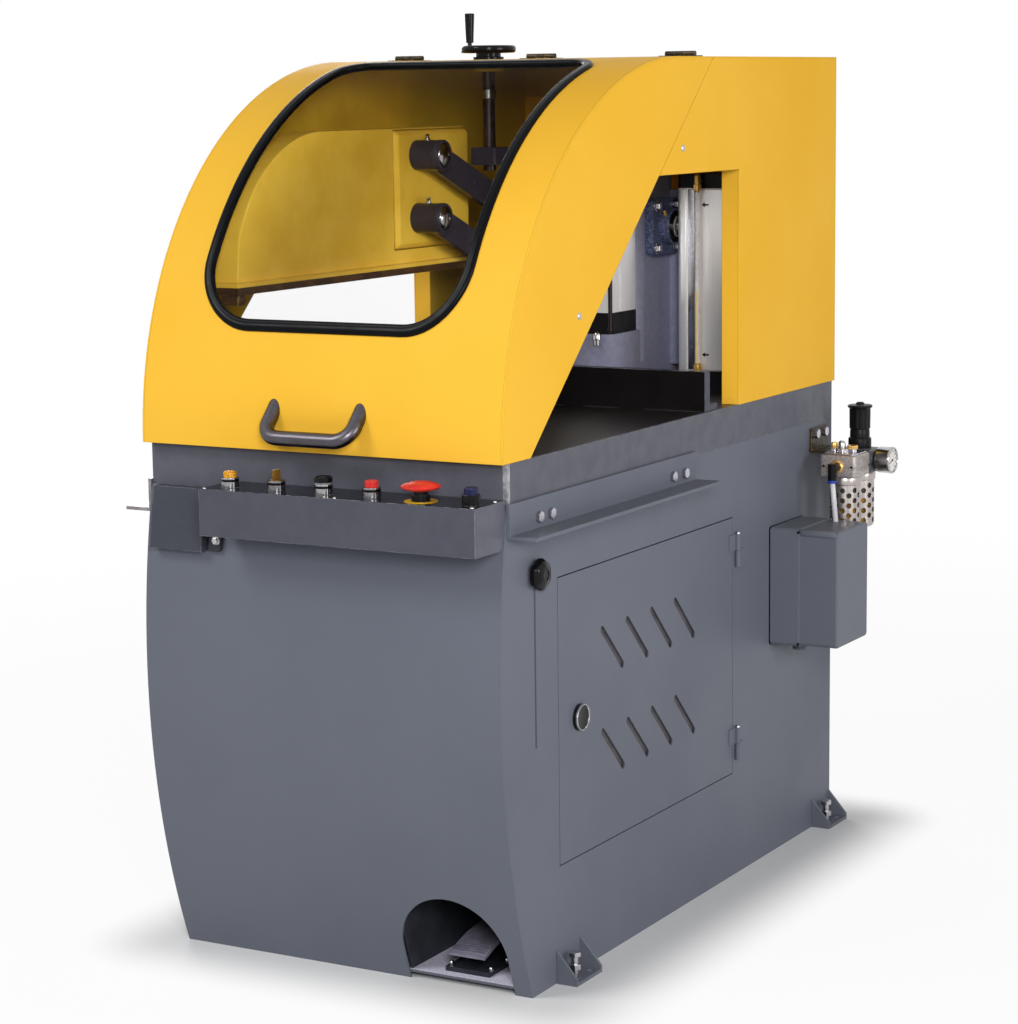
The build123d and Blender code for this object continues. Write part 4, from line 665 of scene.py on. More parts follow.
# Carried section: rows of closed sections, each end drawn in to the section's middle.
def carried(grid):
    ends = [np.repeat(grid[row].mean(axis=0, keepdims=True), grid.shape[1], axis=0) for row in (0, -1)]
    return np.concatenate([ends[0][None], grid, ends[1][None]]), False


# Slab: an outline of points carried by a straight shift, both ends drawn in to the middle.
def slab(outline, shift):
    outline = np.array(outline, float)
    return carried(np.stack([outline, outline + np.array(shift, float)]))


# Soft block: at each row of height and inset the outline is a rectangle with quarter circle corners, their
# radius less the inset; the rows run along X or Z.
def softBlock(spans, rows, corner, axis=2, steps=6):
    rows = np.array(rows, float)
    quarter = np.repeat(np.arange(4), steps)
    angle = quarter * np.pi / 2 + np.tile(np.linspace(0.0, np.pi / 2, steps), 4)
    signs = np.array([(1, 1), (-1, 1), (-1, -1), (1, -1)], float)[quarter]
    way = np.stack([np.cos(angle), np.sin(angle)], axis=1)
    low, high = np.array(spans, float).T
    flat = (low + high) / 2 + signs * ((high - low) / 2 - corner)
    grid = flat[None] + (corner - rows[:, 1, None, None]) * way[None]
    along = np.broadcast_to(rows[:, 0, None, None], (*grid.shape[:2], 1))
    return carried(np.concatenate([grid, along] if axis == 2 else [along, grid], axis=-1))


# Dome head: a low turned cap on a face, with a flat rim.
def domeHead(place, axis, radius, height, count=20):
    return turned([(0, -0.4), (radius, -0.4), (radius, height * 0.3), (radius * 0.82, height * 0.72),
                   (radius * 0.45, height * 0.96), (0, height)], place, axis, count)


# A piece turned from its own profile in the dictionary, once at each of its places
def turnPiece(look, name, places, axis, count, *home, ripple=(0, 0.0), **more):
    makePiece(name, [turned(look[name], place, axis, count, *ripple) for place in places], *home, **more)


# A piece that is one soft block with its own measures in the dictionary
def blockPiece(look, name, *home, **more):
    makePiece(name, [softBlock(**look[name])], *home, **more)


# Window seal: a rounded bead with a groove along its crown, carried round the window's rounded outline.
# Outline: straight sides and quarter circles in the plane of width and arc offset; a point goes to the
# hood's curve at angle = middle + asin(offset / radius), and its height adds to that radius.

windowSeal = {
    "centre": (-142.5, 891.0), "radius": 631.0, "low": 17.7, "high": 81.2, "half": 258.0, "lowCorner": 110.0,
    "highCorner": 60.0, "width": 18.0, "outset": 1.0, "over": 6.5, "under": 8.0, "flatPower": 0.7,
    "tallPower": 0.8, "groove": 1.8, "grooveAt": 9.5, "grooveWidth": 1.1}


def windowOutline(steps=18, sidePoints=44):
    look = windowSeal
    reach = look["radius"] * math.sin(math.radians((look["high"] - look["low"]) / 2))
    half, low, high = look["half"], look["lowCorner"], look["highCorner"]
    turn = np.linspace(0.0, np.pi / 2, steps)
    share = np.linspace(0.0, 1.0, sidePoints + 2)[1:-1, None]
    corners = [(half - low, low - reach, low, -np.pi / 2), (half - high, reach - high, high, 0.0),
               (high - half, reach - high, high, np.pi / 2), (low - half, low - reach, low, np.pi)]
    outward = [np.stack([np.cos(turn + start), np.sin(turn + start)], axis=1) for *_, start in corners]
    points = [np.array([across, along]) + radius * way
              for (across, along, radius, _), way in zip(corners, outward)]
    path, ways = [], []
    for index in range(4):
        begin, goal = points[index][-1], points[(index + 1) % 4][0]
        path += [points[index], begin + share * (goal - begin)]
        ways += [outward[index], np.repeat(outward[index][-1:], sidePoints, axis=0)]
    return np.concatenate(path), np.concatenate(ways)


def sealBead(ringPoints=36):
    look = windowSeal
    path, outward = windowOutline()
    turn = np.linspace(0.0, 2.0 * np.pi, ringPoints, endpoint=False)
    flat = np.sign(np.cos(turn)) * np.abs(np.cos(turn)) ** look["flatPower"]
    tall = np.sign(np.sin(turn)) * np.abs(np.sin(turn)) ** look["tallPower"]
    inset = look["width"] * 0.5 * (1.0 - flat) - look["outset"]
    dip = look["groove"] * np.exp(-((inset - look["grooveAt"]) / look["grooveWidth"]) ** 2)
    height = np.where(tall > 0, look["over"] * tall - dip, look["under"] * tall)
    across = path[:, None, 0] - inset * outward[:, None, 0]
    along = path[:, None, 1] - inset * outward[:, None, 1]
    angle = math.radians((look["low"] + look["high"]) / 2) + np.arcsin(along / look["radius"])
    radius = look["radius"] + height
    y, z = look["centre"]
    return np.stack([across, y - radius * np.cos(angle), z + radius * np.sin(angle)], axis=-1), True


makePiece("windowSeal", [sealBead()], "front_hood", "sealRubber", "gasket_rubber", ["window_gasket"],
          smooth=60.0)
print("window seal ready")


# Hood fittings: side screws and the strip behind each side seam

hoodFittings = {
    "face": 347.5, "screw": (6.4, 3.0), "rearScrew": (-123.5, 1364.0), "frontScrew": (-514.5, 1103.0),
    "stripIn": 346.9, "stripSheet": 2.6,
    "strip": [(-214.5, 1323.0), (-211.5, 1323.0), (-0.5, 1517.0), (-3.5, 1517.0)]}


def addHoodFittings():
    look = hoodFittings
    for name, place, body in (("hoodRearScrews", look["rearScrew"], "machine_base"),
                              ("hoodFrontScrews", look["frontScrew"], "front_hood")):
        heads = [domeHead((way * look["face"], *place), (way, 0, 0), *look["screw"]) for way in (-1, 1)]
        makePiece(name, heads, body, "zincPlate", "zinc")
    for name, way in (("leftSeamStrip", -1), ("rightSeamStrip", 1)):
        outline = [(way * look["stripIn"], y, z) for y, z in look["strip"]]
        strip = slab(outline, (-way * look["stripSheet"], 0, 0))
        makePiece(name, [strip], "machine_base", "hoodYellow", "hood_yellow")


addHoodFittings()


# Control panel fittings, with heights over the panel's top

panelFittings = {
    "top": 833.0, "y": -818.5, "first": -139.0, "pitch": 91.0,
    "startLens": [(0, 11), (10.9, 11), (10.9, 24.5), (9.8, 26.6), (6, 27.6), (0, 28)],
    "selectorDrum": [(0, 1.4), (10.6, 1.4), (10.6, 17.6), (9.6, 18.8), (0, 19)],
    "bladeEnd": 3.4, "bladeReach": 6.6, "bladeFoot": 18.2, "bladeRise": 16.4,
    "readyRing": [(11.9, 19.8), (14.7, 19.8), (14.7, 27.4), (12.8, 29), (11.9, 29)],
    "readyLens": [(11.9, 16.6), (14.3, 16.6), (14.3, 20), (11.9, 20)],
    "emergencyHead": [(0, 5.6), (11, 5.6), (11, 16.3), (14.9, 16.9), (28, 20), (31.6, 22.6), (32, 23.6),
                      (31, 25.4), (26, 28.2), (16, 31), (7, 31.9), (0, 32)],
    "emergencyRing": [(16, 0), (27, 0), (27, 1), (16, 1)],
    "screws": [(-170.0, -847.0), (82.0, -847.0), (334.0, -847.0), (334.0, -775.0)], "screw": (3.4, 2.0)}


def addPanelFittings():
    look = panelFittings
    start, mode, ready, _, emergency = [(look["first"] + look["pitch"] * index, look["y"], look["top"])
                                        for index in range(5)]
    turnPiece(look, "startLens", [start], upright, 36, "start_button", "amberLens", "button_amber",
              ["start_button"])
    turn = np.linspace(0.0, np.pi, 9)
    end = look["bladeEnd"] * np.stack([np.cos(turn), np.sin(turn)], axis=1) + (0.0, look["bladeReach"])
    flat = np.concatenate([end, -end])
    outline = np.column_stack([flat, np.full(len(flat), look["bladeFoot"])]) + mode
    makePiece("selectorBlade", [turned(look["selectorDrum"], mode, upright, 36),
                                slab(outline, (0, 0, look["bladeRise"]))],
              "mode_selector", "selectorGold", "button_amber", ["mode_selector"], bevel=0.8)
    turnPiece(look, "readyRing", [ready], upright, 40, "machine_base", "blackGloss", "button_black")
    turnPiece(look, "readyLens", [ready], upright, 40, "machine_base", "clearGrey", "button_black")
    turnPiece(look, "emergencyHead", [emergency], upright, 56, "emergency_stop", "emergencyRed",
              "button_red", ["emergency_stop"])
    turnPiece(look, "emergencyRing", [emergency], upright, 48, "machine_base", "ringYellow", "button_amber",
              bevel=0.2)
    heads = [domeHead((*spot, look["top"]), upright, *look["screw"]) for spot in look["screws"]]
    makePiece("panelScrews", heads, "machine_base", "chrome", "zinc")


addPanelFittings()


# Tab of the small cover beside the panel, with its bolt

coverTab = {
    "outline": [(-214.0, -774.0, 716.0), (-190.0, -774.0, 716.0), (-190.0, -767.0, 752.0),
                (-214.0, -767.0, 752.0)],
    "sheet": 9.0, "bolt": (-199.0, -780.0, 734.0),
    "coverTabBolt": [(0, -2), (8, -2), (8, 0.6), (5.6, 0.8), (5.6, 5), (4.6, 5.8), (0, 6)]}

makePiece("coverTab", [slab(coverTab["outline"], (0, -coverTab["sheet"], 0))], "machine_base", "boxSlate",
          "box_slate", bevel=2.0)
turnPiece(coverTab, "coverTabBolt", [coverTab["bolt"]], forward, 12, "machine_base", "chrome", "zinc")
print("control panel fittings ready")


# Door latch, stroke knob, door pins and the trim of the junction box

latchFace = {
    "place": (350.4, -521.5, 436.0),
    "latchRim": [(20.2, 0), (22.6, 0), (22.6, 2), (22, 3.3), (20.8, 3.3), (20.2, 2)],
    "latchDish": [(0, 0), (20.2, 0), (20.2, 1.8), (12.12, 0.9), (0, 0.6)]}

strokeKnob = {
    "place": (0.0, -669.5, 702.0), "ripple": (6, 0.045),
    "strokeKnobGrip": [(0, 332, 0), (2.1, 332, 0), (2.1, 345.4, 0), (15, 345.4, 0), (19, 346.2, 0.4),
                       (23.4, 349, 1), (25.4, 353, 1), (25.6, 357, 1), (24.2, 361, 1), (20, 364.4, 0.7),
                       (13, 366.6, 0.2), (9.6, 367, 0), (8.6, 365.6, 0), (0, 365.2, 0)]}

doorPins = {"places": [(349.5, 102.5, 284.0), (349.5, 102.5, 651.0)], "head": (4.4, 4.6)}

boxTrim = {
    "boxGasket": {"spans": [(255.2, 413.8), (411.7, 641.3)], "corner": 7.0, "axis": 0,
                  "rows": [(344.6, 0.6), (345.1, 0), (346.2, 0), (346.8, 0.6)]},
    "boxLidLip": {"spans": [(254.3, 262.5), (627.5, 640.3)], "corner": 3.6, "axis": 0,
                  "rows": [(408.5, 3.2), (409.5, 1), (411.5, 0), (475.5, 0), (478.5, 1.4), (479.5, 3.2)]},
    "pins": [(404.5, 256.5, 418.0), (404.5, 256.5, 634.0)], "pin": (3.0, 1.8)}


def addSideFittings():
    face = [latchFace["place"]]
    turnPiece(latchFace, "latchRim", face, rightward, 48, "door_latch", "chrome", "zinc")
    turnPiece(latchFace, "latchDish", face, rightward, 40, "door_latch", "blackGloss", "knob_black")
    turnPiece(strokeKnob, "strokeKnobGrip", [strokeKnob["place"]], rightward, 72, "stroke_knob",
              "blackGloss", "knob_black", ["stroke_knob"], ripple=strokeKnob["ripple"], smooth=50.0)
    heads = [domeHead(place, upright, *doorPins["head"]) for place in doorPins["places"]]
    makePiece("doorPinHeads", heads, "machine_base", "chrome", "zinc")
    blockPiece(boxTrim, "boxGasket", "machine_base", "sealRubber", "gasket_rubber")
    blockPiece(boxTrim, "boxLidLip", "machine_base", "junctionGrey", "junction_grey", smooth=50.0)
    pins = [domeHead(place, forward, *boxTrim["pin"]) for place in boxTrim["pins"]]
    makePiece("boxPins", pins, "machine_base", "blackPlastic", "cap_black")


addSideFittings()


# Slot blades behind the door: a thin plate carried along each slot, sloping inwards from one edge of it, in
# a darker grey than the door as painted shade inside the slots. A row of the section is depth and offset
# across the slot.

louverBlades = {
    "first": -397.5, "pitch": 94.0, "count": 4, "middles": (531.0, 354.0), "reach": 66.0, "slant": 0.70711,
    "section": [(341.3, 12.4), (340.3, 13.4), (329.6, -12.2), (330.6, -13.2)]}


def addLouverBlades():
    look = louverBlades
    depth, offset = np.array(look["section"]).T
    along = look["slant"] * np.array([0.0, 1.0, -1.0])
    across = look["slant"] * np.array([0.0, 1.0, 1.0])
    section = depth[:, None] * np.array(rightward) + offset[:, None] * across
    blade = np.stack([section - look["reach"] * along, section + look["reach"] * along])
    parts = [carried(blade + (0.0, look["first"] + index * look["pitch"], middle))
             for middle in look["middles"] for index in range(look["count"])]
    makePiece("louverBlades", parts, "side_door", "louverPaintedShade", "cabinet_grey")


addLouverBlades()
print("door fittings ready")


# Air unit: heights count from the bodies' top or low face where the place says so, else from the floor.

airUnit = {
    "x": 420.0, "y": (446.5, 522.5), "low": 719.5, "top": 762.5, "wide": (383.0, 457.0), "corner": 6.0,
    "frontSpan": (408.5, 484.1), "rearSpan": (484.9, 560.5),
    "bodyRows": [(719.5, 2.4), (720.7, 0.8), (722.5, 0), (734.5, 0), (735.7, 1.5), (738.9, 1.5), (740.1, 0),
                 (758.5, 0), (761.1, 0.8), (762.5, 2.6)],
    "bonnet": [(0, -2), (24, -2), (24, 1.4), (23.2, 2.2), (0, 2.2)],
    "holes": [(391.5, 408.7, 741.0), (449.0, 408.7, 741.0)], "hole": (2.6, 0.6, 16),
    "regulatorGrip": [(0, 765.1, 0), (22.2, 765.1, 0), (22.6, 767, 0), (22.6, 782, 0), (21.4, 784.5, 0),
                      (19.4, 785.5, 0), (19.2, 799, 0.3), (18.6, 800.5, 0), (18.6, 802, 0), (20, 803, 1),
                      (20.3, 825, 1), (20.3, 841, 1), (21.5, 843, 0.2), (24, 844.5, 0), (24.2, 847.5, 0),
                      (22.5, 849, 0), (12, 850, 0), (8.2, 850.2, 0), (8, 852.6, 0), (5.6, 854.4, 0),
                      (0, 854.9, 0)],
    "gripRipple": (12, 0.025),
    "airTopPlate": {"spans": [(387.0, 454.0), (412.0, 481.0)], "corner": 8.0,
                    "rows": [(762.3, 1.4), (763.1, 0.4), (764.7, 0.4), (765.5, 1.4)]},
    "plugs": [(402.0, 437.0), (418.0, 436.0), (436.5, 444.6)],
    "airPlugSeats": [(0, 0), (8.6, 0), (8.6, 9.4), (7.8, 10.4), (0, 10.4)],
    "slimCap": [(0, 10), (5.8, 10), (6, 11), (6, 20), (5, 22), (0, 22.4)], "slimRipple": (16, 0.04),
    "flatCap": [(0, 10), (10, 10), (10.2, 11), (10.2, 15.6), (9.4, 16.8), (0, 17)], "flatRipple": (24, 0.03),
    "airHexPlug": [(0, 10), (7.4, 10), (7.4, 20), (6.2, 23.4), (3.6, 26), (0, 26.4)],
    "bowlCollars": [(28.6, -17.5), (30.6, -16), (31.2, -11), (31.2, -4), (30, -0.4), (28.6, -0.4)],
    "innerBowls": [(0, 613), (15, 613.4), (22, 616.5), (24.6, 622), (25, 640), (25, 712), (0, 712)],
    "elbow": (420.0, 408.5, 741.0), "elbowSeat": [(8.3, 0), (12.6, 0), (12.6, 4), (11, 6), (8.3, 6)],
    "tube": (420.0, 383.5, 0.0),
    "tubeCollet": [(5.3, 712.4), (8.8, 712.4), (9.2, 713.6), (9.2, 716.2), (8.6, 717.4), (5.3, 717.4)]}

# A mark is its inner end, outer end and half width; the needle is one more mark.
airGauge = {
    "place": (0.0, 522.5, 743.0), "markFace": 487.9, "markSheet": 0.7, "markTurns": (-45.0, 225.0, 11),
    "mark": (15.8, 20.2, 0.55), "needleTurn": 200.0, "needle": (-4.0, 16.5, 0.7), "capFace": 488.0,
    "cap": (2.6, 1.6, 16),
    "gaugeCase": [(0, 456.5), (6, 456.5), (6, 458), (20, 458.4), (24.4, 460), (25.4, 463), (25.4, 484.5),
                  (26.2, 485.6), (26.2, 489.2), (25, 490.8), (22.8, 490.8), (22, 489), (22, 487.6),
                  (0, 487.6)],
    "gaugeDial": [(0, 487.4), (21.9, 487.4), (21.9, 488.1), (0, 488.2)]}


def dialMark(degrees, inner, outer, half):
    turn = math.radians(degrees)
    way = np.array([0.0, math.cos(turn), math.sin(turn)])
    side = np.array([0.0, -math.sin(turn), math.cos(turn)])
    centre = np.array([airGauge["markFace"], *airGauge["place"][1:]])
    corners = ((inner, -half), (outer, -half), (outer, half), (inner, half))
    outline = [centre + way * reach + side * shift for reach, shift in corners]
    return slab(outline, (airGauge["markSheet"], 0, 0))


def addGauge():
    look = airGauge
    turnPiece(look, "gaugeCase", [look["place"]], rightward, 56, "machine_base", "chrome", "gauge_case",
              ["pressure_gauge"], smooth=45.0)
    turnPiece(look, "gaugeDial", [look["place"]], rightward, 48, "machine_base", "dialWhite", "tube_white")
    marks = [dialMark(degrees, *look["mark"]) for degrees in np.linspace(*look["markTurns"])]
    marks.append(dialMark(look["needleTurn"], *look["needle"]))
    marks.append(domeHead((look["capFace"], *look["place"][1:]), rightward, *look["cap"]))
    makePiece("gaugeMarks", marks, "machine_base", "blackPlastic", "cap_black")


def addAirUnit():
    look = airUnit
    x, top, rearY = look["x"], look["top"], look["y"][1]
    front, rear = [softBlock([look["wide"], look[span]], look["bodyRows"], look["corner"])
                   for span in ("frontSpan", "rearSpan")]
    bonnet = turned(look["bonnet"], (x, rearY, top), upright, 48)
    makePiece("frontAirBody", [front], "machine_base", "dieCast", "air_cast", ["air_bodies"], smooth=40.0)
    makePiece("rearAirBody", [rear, bonnet], "machine_base", "darkCast", "air_cast", smooth=40.0)
    holes = [domeHead(place, forward, *look["hole"]) for place in look["holes"]]
    makePiece("bodyHoles", holes, "machine_base", "blackPlastic", "cap_black")
    turnPiece(look, "regulatorGrip", [(x, rearY, 0)], upright, 96, "regulator_knob", "blackPlastic",
              "knob_black", ["regulator_knob"], ripple=look["gripRipple"], smooth=34.0)
    addGauge()
    blockPiece(look, "airTopPlate", "machine_base", "zincPlate", "zinc")
    plugs = [(*spot, top) for spot in look["plugs"]]
    turnPiece(look, "airPlugSeats", plugs, upright, 6, "machine_base", "zincPlate", "zinc", bevel=0.5)
    caps = [turned(look["slimCap"], plugs[0], upright, 96, *look["slimRipple"]),
            turned(look["flatCap"], plugs[2], upright, 96, *look["flatRipple"])]
    makePiece("airBrassCaps", caps, "machine_base", "brass", "bracket_zinc", smooth=30.0)
    turnPiece(look, "airHexPlug", plugs[1:2], upright, 24, "machine_base", "chrome", "zinc")
    turnPiece(look, "bowlCollars", [(x, y, look["low"]) for y in look["y"]], upright, 56, "machine_base",
              "bowlSteel", "bowl_steel")
    turnPiece(look, "innerBowls", [(x, y, 0) for y in look["y"]], upright, 48, "machine_base", "amberBowl",
              "bowl_steel")
    turnPiece(look, "elbowSeat", [look["elbow"]], forward, 30, "machine_base", "brass", "bracket_zinc")
    turnPiece(look, "tubeCollet", [look["tube"]], upright, 32, "machine_base", "blueRing", "button_blue")


addAirUnit()
print("air unit ready")


# Column fittings: bearing rings, tie rod, port, ribs, bolts, level marks and sight nuts

columnFittings = {
    "boss": (131.0, 288.5, 1205.0),
    "bearingSeal": [(21.5, -0.5), (31, -0.5), (31, 1.6), (29, 2.4), (21.5, 1.4)],
    "bearingRim": [(31, -1), (34.6, -1), (34.6, 2.6), (33, 4), (31, 3)],
    "bearingSleeve": [(15.3, 0), (21, 0), (21, 7), (19.8, 8.4), (15.3, 8.4)],
    "shaftEnd": [(0, -0.5), (14.6, -0.5), (14.6, 5), (13, 6.4), (5, 6.4), (4, 3), (0, 2.6)],
    "nipple": (124.0, 263.0, 1229.0), "nippleAxis": (0, -0.6, 0.8),
    "bearingNipple": [(0, -2), (4.2, -2), (4.2, 2), (2.6, 3.2), (2.6, 5.4), (3.6, 6.8), (2.8, 9), (0, 9.6)],
    "rod": (88.6, 99.6, 0.0),
    "tankTieRod": [(0, 1018), (6, 1018), (6, 1024), (4.2, 1025), (4.2, 1293), (6, 1294), (6, 1299.6),
                   (0, 1299.6)],
    "spout": (68.0, 96.5, 1009.0), "portSpout": [(0, -3), (5.4, -3), (5.4, 10), (0, 10)],
    "stem": (68.0, 86.0, 0.0),
    "portStem": [(0, 992), (6.2, 992), (6.4, 1002), (8, 1003), (8, 1013), (6.4, 1015.4),
                 (5, 1017.6), (0, 1018)],
    "tankBracket": {"spans": [(93.5, 142.0), (340.0, 350.0)], "corner": 3.0,
                    "rows": [(934, 2.5), (936, 0.6), (938, 0), (1270, 0), (1272, 0.6), (1274, 2.5)]},
    "ribRows": [(931, 1.6), (932, 0.4), (933, 0), (1275, 0), (1276.2, 0.4), (1277.4, 1.6)],
    "ribs": [(147.0, 161.0), (191.0, 249.0)], "ribDepth": (278.6, 283.0), "ribCorner": 2.0,
    "channel": [(163.0, 177.0), (280.9, 282.5)], "channelCorner": 0.75,
    "flangeFace": 113.0, "boltSpread": 40.0,
    "washer": [(0, -0.4), (11.6, -0.4), (11.6, 1.8), (10.8, 2.4), (0, 2.4)],
    "boltHead": [(0, 2.2), (8.6, 2.2), (8.6, 8), (7.2, 9.6), (0, 9.8)],
    "arrowHeights": (1247.0, 961.5), "arrowFace": 278.7, "arrowSheet": 0.8,
    "arrow": [(194.0, 0), (199.6, 4.2), (199.6, 1.5), (208.0, 1.5), (208.0, -1.5), (199.6, -1.5),
              (199.6, -4.2)],
    "sights": [(188.0, 270.5, 936.0), (188.0, 270.5, 1280.0)],
    "sightNuts": [(0, -6), (8.6, -6), (8.6, 6), (0, 6)]}


def addColumnFittings():
    look = columnFittings
    boss = [look["boss"]]
    turnPiece(look, "bearingSeal", boss, rightward, 48, "machine_base", "blackPlastic", "cap_black")
    turnPiece(look, "bearingRim", boss, rightward, 48, "machine_base", "bearingBlue", "bearing_blue")
    turnPiece(look, "bearingSleeve", boss, rightward, 48, "upper_arm", "chrome", "steel")
    turnPiece(look, "shaftEnd", boss, rightward, 40, "upper_arm", "turnedSteel", "steel")
    turnPiece(look, "bearingNipple", [look["nipple"]], look["nippleAxis"], 18, "machine_base", "brass",
              "bracket_zinc")
    turnPiece(look, "tankTieRod", [look["rod"]], upright, 28, "machine_base", "darkRod", "steel")
    port = [turned(look["portSpout"], look["spout"], forward, 24),
            turned(look["portStem"], look["stem"], upright, 28)]
    makePiece("tankPort", port, "machine_base", "chrome", "zinc")
    blockPiece(look, "tankBracket", "machine_base", "columnSlate", "column_slate")
    ribs = [softBlock([span, look["ribDepth"]], look["ribRows"], look["ribCorner"]) for span in look["ribs"]]
    makePiece("tankRibs", ribs, "machine_base", "anodised", "tank_aluminium")
    channel = softBlock(look["channel"], look["ribRows"], look["channelCorner"])
    makePiece("tankChannel", [channel], "machine_base", "zincPlate", "tank_aluminium")
    _, y, z = look["boss"]
    spread = (-look["boltSpread"], look["boltSpread"])
    bolts = [turned(profile, (look["flangeFace"], y + way, z + rise), rightward, count)
             for way in spread for rise in spread
             for profile, count in ((look["washer"], 28), (look["boltHead"], 6))]
    makePiece("bearingBolts", bolts, "machine_base", "zincPlate", "zinc")
    arrows = [slab([(x, look["arrowFace"], level + rise) for x, rise in look["arrow"]],
                   (0, -look["arrowSheet"], 0)) for level in look["arrowHeights"]]
    makePiece("levelArrows", arrows, "machine_base", "blackPlastic", "cap_black")
    turnPiece(look, "sightNuts", look["sights"], upright, 6, "machine_base", "brass", "bracket_zinc",
              bevel=0.8)


addColumnFittings()


# Hub fittings: grease nipples, rims and polished domes on the guard's two hubs

hubFittings = {
    "y": -76.5, "endX": -160.0, "nippleX": -198.0, "radius": 28.0,
    "hubs": {"upper": 1350.0, "lower": 1234.0},
    "nipple": [(0, -2), (5, -2), (5, 3), (3, 4.4), (3, 6.4), (4.2, 8), (3.2, 10.6), (0, 11.4)],
    "rim": [(22.4, -14), (28.3, -14), (28.3, -3.5), (27.2, -1.6), (24.4, -0.4), (22.4, -1.2)],
    "dome": [(0, -6), (22.3, -6), (22.3, -2.4), (20, 0.6), (15, 3), (8, 4.8), (5, 5.2), (4.6, 4.2), (0, 4)]}


def addHubFittings():
    look = hubFittings
    for side, z in look["hubs"].items():
        body = side + "_arm"
        end = (look["endX"], look["y"], z)
        nipple = turned(look["nipple"], (look["nippleX"], look["y"], z + look["radius"]), upright, 20)
        makePiece(side + "HubFittings", [nipple], body, "chrome", "zinc")
        makePiece(side + "HubRim", [turned(look["rim"], end, rightward, 48)], body, "armSlate", "arm_slate")
        makePiece(side + "HubDome", [turned(look["dome"], end, rightward, 44)], body, "hubSteel", "steel",
                  smooth=45.0)


addHubFittings()


# Guard pad: height over the guard's side = rise * soft step of the distance outside the pad's rectangle in y
# and in z, so the pad runs out into the side in soft slopes. The rear end is cut off square. The top ends
# skin over the side, and the flat back lies foot over it.

guardPad = {"side": -230.0, "rise": 7.99, "front": -135.5, "rear": 111.5, "low": 1190.0, "high": 1385.0,
            "slope": 13.0, "steps": 11, "skin": 0.06, "foot": 0.03}


def softStep(distance):
    share = np.clip(1.0 - distance / guardPad["slope"], 0.0, 1.0)
    return share * share * (3.0 - 2.0 * share)


def addGuardPad():
    look = guardPad
    slope = np.linspace(0.0, 1.0, look["steps"]) * look["slope"]
    y = np.concatenate([look["front"] - slope[::-1], [look["rear"]]])
    z = np.concatenate([look["low"] - slope[::-1], look["high"] + slope])
    ahead = np.maximum(look["front"] - y, 0.0)
    beside = np.maximum(np.maximum(look["low"] - z, z - look["high"]), 0.0)
    top = look["side"] + look["skin"] + look["rise"] * softStep(ahead)[:, None] * softStep(beside)
    x = np.concatenate([top, np.full_like(top, look["side"] + look["foot"])], axis=1)
    around = np.concatenate([z, z[::-1]])
    grid = np.stack([x, np.broadcast_to(y[:, None], x.shape), np.broadcast_to(around, x.shape)], axis=-1)
    makePiece("guardPad", [carried(grid)], "blade_guard", "guardAndStrip", "guard_yellow", smooth=60.0)


addGuardPad()


# Handwheel seat: a thin black sleeve over the bush on the roof.

seatSleeve = {
    "place": (-165.0, 96.5, 1522.0),
    "wheelSeat": [(25, 7.05), (25, 7.3), (28.6, 7.3), (29.5, 6.65), (29.5, 0.05), (29.06, 0.05),
                  (29.06, 7.05)]}

turnPiece(seatSleeve, "wheelSeat", [seatSleeve["place"]], upright, 48, "machine_base", "blackGloss",
          "wheel_black")
print("column, hub, guard and wheel fittings ready")


# Foot switch: a ribbed treadle. Its height = rise along the slope + crown * sin(pi * share) + ribs - lip,
# where a rib is a soft square wave that ends at the margins and the lip bends the front edge down; the
# section drops a little to each side edge.

treadle = {
    "left": 178.0, "right": 246.0, "front": -675.5, "length": 138.0, "low": 52.0, "high": 74.0, "sheet": 7.5,
    "crown": 8.0, "ribs": 24, "rib": 0.7, "ribEdge": 3.0, "margin": 0.04, "lip": 3.0, "lipShare": 0.03,
    "edgeDrop": 1.8, "edgePower": 10, "rows": 240, "topPoints": 11, "underPoints": 5,
    "hinge": (0.0, -537.5, 66.0),
    "roll": [(0, 178), (7.4, 178), (8, 179), (8, 245), (7.4, 246), (0, 246)],
    "pin": [(0, 170), (3.9, 170), (3.9, 254), (0, 254)]}

footScrews = {
    "places": [(173.9, -662.0, 24.0), (250.1, -662.0, 24.0), (250.1, -608.0, 24.0), (173.9, -608.0, 24.0)],
    "switchScrews": [(0, -1), (3.8, -1), (4, 0.4), (4, 5), (3.2, 6.6), (1.6, 7.4), (0, 7.4)]}

footWell = {
    "top": 236.0, "clear": 3.0, "inset": 2.0, "sheet": 3.0, "corner": 1.4, "steps": 16,
    "panel": ((-687.5, 0.0), (-782.5, 520.0), (-751.5, 819.0))}


def treadPlate():
    look = treadle
    share = np.linspace(0.0, 1.0, look["rows"])
    wave = np.tanh(look["ribEdge"] * np.cos(2.0 * np.pi * look["ribs"] * share)) * 0.5 + 0.5
    inside = np.clip(np.minimum(share, 1.0 - share) / look["margin"], 0.0, 1.0)
    base = look["low"] + (look["high"] - look["low"]) * share + look["crown"] * np.sin(np.pi * share)
    top = base + look["rib"] * wave * inside - look["lip"] * np.exp(-(share / look["lipShare"]) ** 2)
    across = np.concatenate([np.linspace(-1.0, 1.0, look["topPoints"]),
                             np.linspace(1.0, -1.0, look["underPoints"])])
    isTop = np.arange(len(across)) < look["topPoints"]
    middle, half = (look["left"] + look["right"]) / 2, (look["right"] - look["left"]) / 2
    drop = look["edgeDrop"] * np.abs(across) ** look["edgePower"]
    z = np.where(isTop, top[:, None] - drop, (base - look["sheet"])[:, None])
    x = np.broadcast_to(middle + half * across, z.shape)
    y = np.broadcast_to((look["front"] + look["length"] * share)[:, None], z.shape)
    return carried(np.stack([x, y, z], axis=-1))


